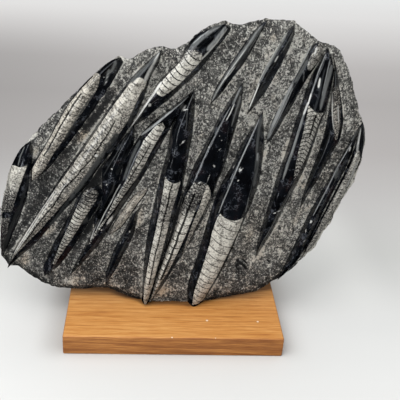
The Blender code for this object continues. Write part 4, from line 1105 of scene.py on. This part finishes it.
# How large the grain of each is, in millimetres
GRAIN_MM, FLECK_MM, SPARK_MM, PECK_MM, GRIT_MM = 1.35, 2.4, 1.15, 2.4, 0.7
FINE_MM, SMALL_MM, CHIP_MM = 0.9, 1.5, 1.1
STREAK_MM, FIBRE_MM = 1.5, 0.6

SEPTUM_EDGE_MM = (0.3, 0.72)
SHELL_ROUGHNESS, SHEEN_ROUGHNESS, BARE_ROUGHNESS = 0.24, 0.34, 0.7


def stone_colour(look, edge):
    """The pecked matrix's colour and height. It is paler where edge goes towards 1."""
    grain = look.noise(GRAIN_MM, 4.0, 0.74, (1, 1, 1.2))
    level = look.plus(grain, 0.45, look.noise(6, 3.0, 0.6))
    level = look.plus(level, 0.4, look.noise(40))
    level = look.maths("MULTIPLY_ADD", look.mark("pale"), 0.12, level)
    broken = look.band(look.noise(6), 0.36, 0.6, 0.0, 0.13)
    level = look.maths("MULTIPLY_ADD", edge, broken, level)
    colour = look.steps(level, MATRIX_TONES)
    flecks = look.band(look.noise(FLECK_MM, 2.0, 0.6, (1, 1, 1.3)), 0.57, 0.64, 0.0, 0.85)
    colour = look.tinted(look.product(flecks, look.band(level, 0.36, 0.5)), colour, FLECK)
    sparks = look.band(look.noise(SPARK_MM, 1.0, 0.5, (1, 1, 1.4)), 0.60, 0.70, 0.0, 0.75)
    colour = look.tinted(look.product(sparks, look.band(level, 0.30, 0.42)), colour, SPARK)
    holes = look.band(look.noise(PECK_MM, 1.5, 0.5, (1.2, 1, 1)), 0.31, 0.41, 0.85, 0.0)
    colour = look.tinted(holes, colour, PECK)
    blush = look.band(look.noise(9), 0.5, 0.7, 0.0, 0.2)
    return look.warmed(look.maths("MULTIPLY_ADD", look.mark("warm"), 0.5, blush), colour), grain


def matrix_material():
    look = Look("pecked_matrix")
    colour, grain = stone_colour(look, look.mark("border"))
    colour = look.tinted(look.band(look.mark("crack"), -0.4, 0.2), colour, CRACK)
    normal = look.bump(look.noise(GRIT_MM, 2.0, 0.6), 0.35, look.bump(grain, 1.3))
    return look.finish(colour, look.band(grain, 0.35, 0.7, 0.72, 0.5), normal)


def black_stone(look, small):
    """The polished black of the spears, with its rust and glints."""
    black = look.steps(look.noise(14, 2.0, 0.5), BLACK_TONES)
    black = look.tinted(look.mark("rust"), black, RUST)
    glints = look.band(look.product(small, look.noise(7, 1.0)), 0.30, 0.40, 0.0, 0.42)
    return look.tinted(glints, black, GLINT)


def shell_colour(look, fine, small):
    """The pale shell with its dark partitions and tube."""
    grey = look.mark("grey")
    clean = look.maths("MULTIPLY_ADD", look.noise(6), 0.45, look.maths("MULTIPLY", small, 0.55))
    darker = look.maths("MAXIMUM", look.maths("SUBTRACT", grey, 0.7), 0.0)
    pepper = look.maths("MULTIPLY_ADD", darker, -0.16, small)
    spread = look.band(look.plus(grey, 1.0, look.noise(5)), 0.05, 0.65)
    pale = look.mix(spread, look.steps(clean, CLEAN_SHELL_TONES), look.steps(pepper, GREY_SHELL_TONES))
    pale = look.warmed(look.mark("warm"), pale)
    most = look.maths("MULTIPLY_ADD", grey, 0.5, 0.4)
    chips = look.band(look.noise(CHIP_MM, 2.0, 0.6), 0.33, 0.41, most, 0.0)
    pale = look.tinted(chips, pale, CHIP)
    turn = look.maths("PINGPONG", look.plus(look.mark("septa"), 0.16, fine), 0.5)
    gap = look.maths("MULTIPLY", turn, look.mark("spacing"))
    worn = look.band(look.noise(3.2, 1.0), 0.36, 0.5, 0.7, 1.0)
    line = look.product(look.band(gap, *SEPTUM_EDGE_MM, 1.0, 0.0), look.mark("septa_strength"), worn)
    tube = look.band(look.plus(look.mark("siphuncle"), 1.6, fine), -0.25, 0.35, 0.95, 0.0)
    return look.tinted(look.maths("MAXIMUM", line, tube), pale, SEPTUM)


def fossil_material():
    look = Look("polished_fossil")
    fine, small = look.noise(FINE_MM, 2.0, 0.6), look.noise(SMALL_MM, 3.0, 0.65)
    inside = look.band(look.plus(look.mark("shell"), 1.1, fine), -0.12, 0.2)
    colour = look.mix(inside, black_stone(look, small), shell_colour(look, fine, small))
    # Painted reflections and highlights on edges and facets, with more roughness there.
    streaks = look.band(look.noise(2.6, 2.0, 0.6, (1, 1, 4)), 0.32, 0.52, 0.6, 1.0)
    sheen_shown = look.maths("MULTIPLY", look.mark("sheen_share"), streaks)
    colour = look.mix(sheen_shown, colour, look.steps(look.mark("sheen"), SHEEN_TONES))
    spot = look.band(look.plus(look.mark("speck"), 1.8, fine), -0.1, 0.65)
    colour = look.tinted(spot, colour, SPECK)
    ragged = look.plus(look.plus(look.mark("foot"), 1.3, small), 1.3, look.noise(8, 1.0))
    bare = look.band(ragged, 0.05, 0.35, 1.0, 0.0)
    stone, grain = stone_colour(look, bare)
    colour = look.mix(bare, colour, stone)
    polished = look.band(look.noise(2.5), 0.3, 0.7, 0.10, 0.2)
    roughness = look.blend(inside, polished, SHELL_ROUGHNESS)
    roughness = look.blend(bare, look.blend(sheen_shown, roughness, SHEEN_ROUGHNESS), BARE_ROUGHNESS)
    waves = look.bump(look.noise(9, 1.0, 0.4), 0.28)
    return look.finish(colour, roughness, look.bump(look.maths("MULTIPLY", grain, bare), 0.6, waves))


def oak_material():
    look = Look("oak")
    _, y, z = look.parts(look.place)
    squares = []
    for along, middle in zip((y, z), PITH_MM):
        away = look.maths("SUBTRACT", along, middle * MM)
        squares.append(look.maths("MULTIPLY", away, away))
    reach = look.maths("SQRT", look.maths("ADD", *squares))
    sway = look.noise(26, 2.0, 0.5, (6, 1, 1))
    years = look.maths("MULTIPLY_ADD", sway, 2.6, look.maths("MULTIPLY", reach, 1 / (YEAR_MM * MM)))
    year = look.maths("FRACT", years)
    late = look.product(look.band(year, 0.45, 0.9), look.band(year, 0.92, 1.0, 1.0, 0.0))
    streaks = look.noise(STREAK_MM, 3.0, 0.6, (22, 1, 1))
    fibres = look.noise(FIBRE_MM, 2.0, 0.6, (26, 1, 1))
    # Painted shade: where the board doesn't face up, on its front, ends and eased edges, edge makes it
    # darker.
    upward = look.parts(look.add("NewGeometry").outputs["Normal"])[2]
    edge = look.band(upward, 0.55, 0.97, 1.0, 0.0)
    level = look.plus(0.44, look.blend(edge, 0.72, 0.8), streaks)
    level = look.maths("MULTIPLY_ADD", late, look.blend(edge, 0.1, 0.15), level)
    level = look.plus(level, 0.6, fibres)
    level = look.plus(level, 0.35, look.noise(30, 2.0, 0.5, (3, 1, 1)))
    level = look.maths("MULTIPLY_ADD", edge, 0.27, level)
    colour = look.steps(level, OAK_TONES)
    for nick_x, nick_y, size in NICKS_MM:
        spot = [v * MM for v in (nick_x, nick_y, BASE_MM[2])]
        gap = look.add("VectorMath", [(0, look.place), (1, spot)], operation="DISTANCE").outputs["Value"]
        colour = look.tinted(look.band(gap, 0.6 * size * MM, size * MM, 0.85, 0.0), colour, NICK)
    # Painted shadow of the slab on the board's top, in front of where the slab meets it.
    painted_shadow = look.product(look.mark("painted_shadow"), look.band(fibres, 0.2, 0.6, 0.95, 0.7))
    colour = look.tinted(painted_shadow, colour, SLAB_SHADOW)
    pores = look.bump(fibres, 0.12, look.bump(streaks, 0.18))
    return look.finish(colour, look.band(fibres, 0.35, 0.65, 0.42, 0.56), pores)


# The base


def board_profile():
    """Y and Z round the board's section, with eased corners."""
    y, z, ease = BASE_MM[1] / 2 - BASE_EDGE_MM, BASE_MM[2] - BASE_EDGE_MM, BASE_EDGE_MM
    turned = []
    for corner, middle in enumerate(((y, z), (-y, z), (-y, ease), (y, ease))):
        for step in range(BASE_EDGE_STEPS + 1):
            angle = (corner + step / BASE_EDGE_STEPS) * math.pi / 2
            turned.append((middle[0] + ease * math.cos(angle), middle[1] + ease * math.sin(angle)))
    points = []
    for start, end in zip(turned, turned[1:] + turned[:1]):
        pieces = max(1, round(math.dist(start, end) / BASE_CELL_MM))
        points.append(np.linspace(start, end, pieces, endpoint=False))
    return np.concatenate(points)


def oak_board():
    profile = board_profile()
    middle = np.array([0, BASE_MM[2] / 2])
    flat_half = BASE_MM[0] / 2 - BASE_EDGE_MM
    ends = flat_half + BASE_EDGE_MM * np.sin(np.linspace(0, math.pi / 2, BASE_EDGE_STEPS + 1))
    half = np.concatenate([np.linspace(0, flat_half, BASE_COLUMNS + 1), ends[1:]])
    xs = np.concatenate([-half[:0:-1], half])
    rings = []
    for x in xs:
        over = max(0.0, abs(x) - flat_half)
        inset = BASE_EDGE_MM - math.sqrt(max(0.0, BASE_EDGE_MM**2 - over**2))
        toward = profile - middle
        ring = middle + toward * (1 - inset / np.maximum(np.abs(toward), 5.0))
        rings.append(np.column_stack([np.full(len(ring), x), ring]))
    points = np.concatenate(rings)
    x, y, z = points.T
    worn = lumps(x, y, BASE_WEAR_MM) * eased(4, 12, z)
    points[:, 2] = np.maximum(0, z - np.abs(worn))
    # Painted shadow on the board's top in front of where the slab meets it, reaching further where it
    # overhangs.
    reach, line = (np.interp(x, *zip(*table)) for table in (SLAB_SHADOW_REACH_MM, SLAB_SHADOW_LINE_MM))
    painted_shadow = eased(-reach, 0.4 * reach, y - line) * (points[:, 2] > BASE_MM[2] - 1)
    count = len(profile)
    caps = [tuple(range(count)), tuple(range(len(points) - count, len(points)))]
    made = mesh_object("oak_board", points, ring_faces(len(xs), count) + caps, {"painted_shadow": painted_shadow})
    finish_mesh(made)
    for face in made.data.polygons:
        face.use_smooth = len(face.vertices) == 4
    return made


# The studio

FLOOR_HALF_MM = 4000
# Painted light and shade on the paper, from its front to its back
PAINTED_FLOOR_LIGHT = (
    (0.20, 218, 218, 216), (0.25, 210, 210, 208), (0.306, 194, 194, 191), (0.367, 190, 188, 186),
    (0.45, 179, 175, 173), (0.56, 179, 175, 173), (0.66, 193, 189, 187), (0.76, 219, 216, 214),
    (0.87, 240, 238, 236), (1.0, 252, 252, 250),
)
DOME_LOW, DOME_TOP = 0.25, 1.10
SLAB_MIDDLE = (0.0, 0.0, 0.16)
COOL = (0.9, 0.95, 1.0)


def floor():
    """The paper, with painted light and shade on it. Its places are in metres."""
    look = Look("paper")
    x, y, _ = look.parts(look.place)
    shade = look.steps(look.maths("MULTIPLY_ADD", y, 0.5, 0.25), PAINTED_FLOOR_LIGHT)
    # Painted shade far left, painted shadow of the board beside it, and painted light right of the board.
    far_left_shade = look.product(
        look.band(x, -0.45, 0.15, 1.0, 0.0), look.band(y, 0.08, 0.35), look.band(y, 0.75, 1.25, 0.28, 0.0)
    )
    board_shadow = look.product(
        look.band(look.maths("ABSOLUTE", x), 0.132, 0.102), look.band(y, -0.08, -0.05, 0.0, 0.3),
        look.band(y, 0.04, 0.12, 1.0, 0.0), look.band(x, 0.0, 0.1, 1.0, 0.55),
    )
    right_painted_light = look.product(
        look.band(x, 0.09, 0.16, 0.0, 0.34), look.band(y, -0.03, 0.05), look.band(y, 0.13, 0.30, 1.0, 0.0),
        look.band(x, 0.19, 0.25, 1.0, 0.2),
    )
    for share, colour in ((far_left_shade, (60, 60, 60)), (board_shadow, (90, 88, 84)), (right_painted_light, (250, 250, 246))):
        shade = look.tinted(share, shade, colour)
    corners = np.array([(-1, -1, 0), (1, -1, 0), (1, 1, 0), (-1, 1, 0)]) * FLOOR_HALF_MM
    made = mesh_object("floor", corners, [(0, 1, 2, 3)])
    made.data.materials.append(look.finish(shade, look.band(look.noise(3), 0.3, 0.7, 0.7, 0.8)))
    made.visible_glossy = False


def soft_light(name, place, size, power, tint=(1, 1, 1), lights_up=True, reflects=True):
    """A rectangular light at place, in metres, that faces the slab."""
    data = bpy.data.lights.new(name, "AREA")
    data.shape = "RECTANGLE"
    data.size, data.size_y = size
    data.energy = power
    data.color = tint
    away = np.array(place) - SLAB_MIDDLE
    away /= np.linalg.norm(away)
    side = np.cross((0, 0, 1), away)
    side /= np.linalg.norm(side)
    turn = Matrix(np.column_stack([side, np.cross(away, side), away]).tolist()).to_4x4()
    made = linked(name, data)
    made.matrix_world = Matrix.Translation(place) @ turn
    made.visible_camera = False
    made.visible_diffuse, made.visible_glossy = lights_up, reflects


def dome():
    """Soft light from the whole sky, stronger from above. It doesn't show in the polish."""
    world = bpy.data.worlds.new("room")
    bpy.context.scene.world = world
    world.use_nodes = True
    nodes, links = world.node_tree.nodes, world.node_tree.links
    height = nodes.new("ShaderNodeSeparateXYZ")
    links.new(nodes.new("ShaderNodeTexCoord").outputs["Generated"], height.inputs[0])
    strength = nodes.new("ShaderNodeMapRange")
    for name, value in (("From Min", 0.0), ("From Max", 1.0), ("To Min", DOME_LOW), ("To Max", DOME_TOP)):
        strength.inputs[name].default_value = value
    links.new(height.outputs[2], strength.inputs["Value"])
    background = nodes["Background"]
    background.inputs["Color"].default_value = (0.98, 0.99, 1.0, 1.0)
    links.new(strength.outputs[0], background.inputs["Strength"])
    world.cycles_visibility.glossy = False


def lights():
    """The cards only show in the polish, and the fill never does."""
    dome()
    soft_light("key", (-0.40, -0.40, 1.15), (0.9, 0.9), 9.0)
    soft_light("left_card", (-0.40, -0.42, 0.26), (0.08, 0.5), 1.0, COOL, lights_up=False)
    soft_light("right_card", (0.42, -0.52, 0.12), (0.22, 0.24), 0.14, (0.85, 0.93, 1.0), lights_up=False)
    soft_light("upper_card", (-0.75, -0.15, 0.75), (0.5, 0.5), 2.2, COOL, lights_up=False)
    soft_light("front_fill", (-0.30, -0.75, 1.20), (0.9, 0.9), 3.5, reflects=False)


def camera():
    data = bpy.data.cameras.new("camera")
    data.lens = CAMERA_LENS_MM
    made = linked("camera", data)
    turned = Matrix.Identity(4)
    for angle, axis in ((CAMERA_TURN_DEG, "Z"), (CAMERA_PITCH_DEG, "X"), (CAMERA_ROLL_DEG, "Y"), (90, "X")):
        turned = turned @ Matrix.Rotation(math.radians(angle), 4, axis)
    made.matrix_world = Matrix.Translation([v * MM for v in CAMERA_MM]) @ turned
    bpy.context.scene.camera = made
    bpy.context.scene.view_settings.view_transform = "Standard"


def main():
    fossils, stone, oak = fossil_material(), matrix_material(), oak_material()
    slab = [(stone_matrix(), stone)]
    slab += [(spear(letter, *entry), fossils) for letter, entry in SPEARS_SEEN.items()]
    for piece, finish in slab:
        piece.data.materials.append(finish)
        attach(piece, "root")
        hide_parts("fossil_slab")
    board = oak_board()
    board.visible_glossy = False
    board.data.materials.append(oak)
    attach(board, "root")
    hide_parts("oak_base")
    floor()
    lights()
    camera()


main()
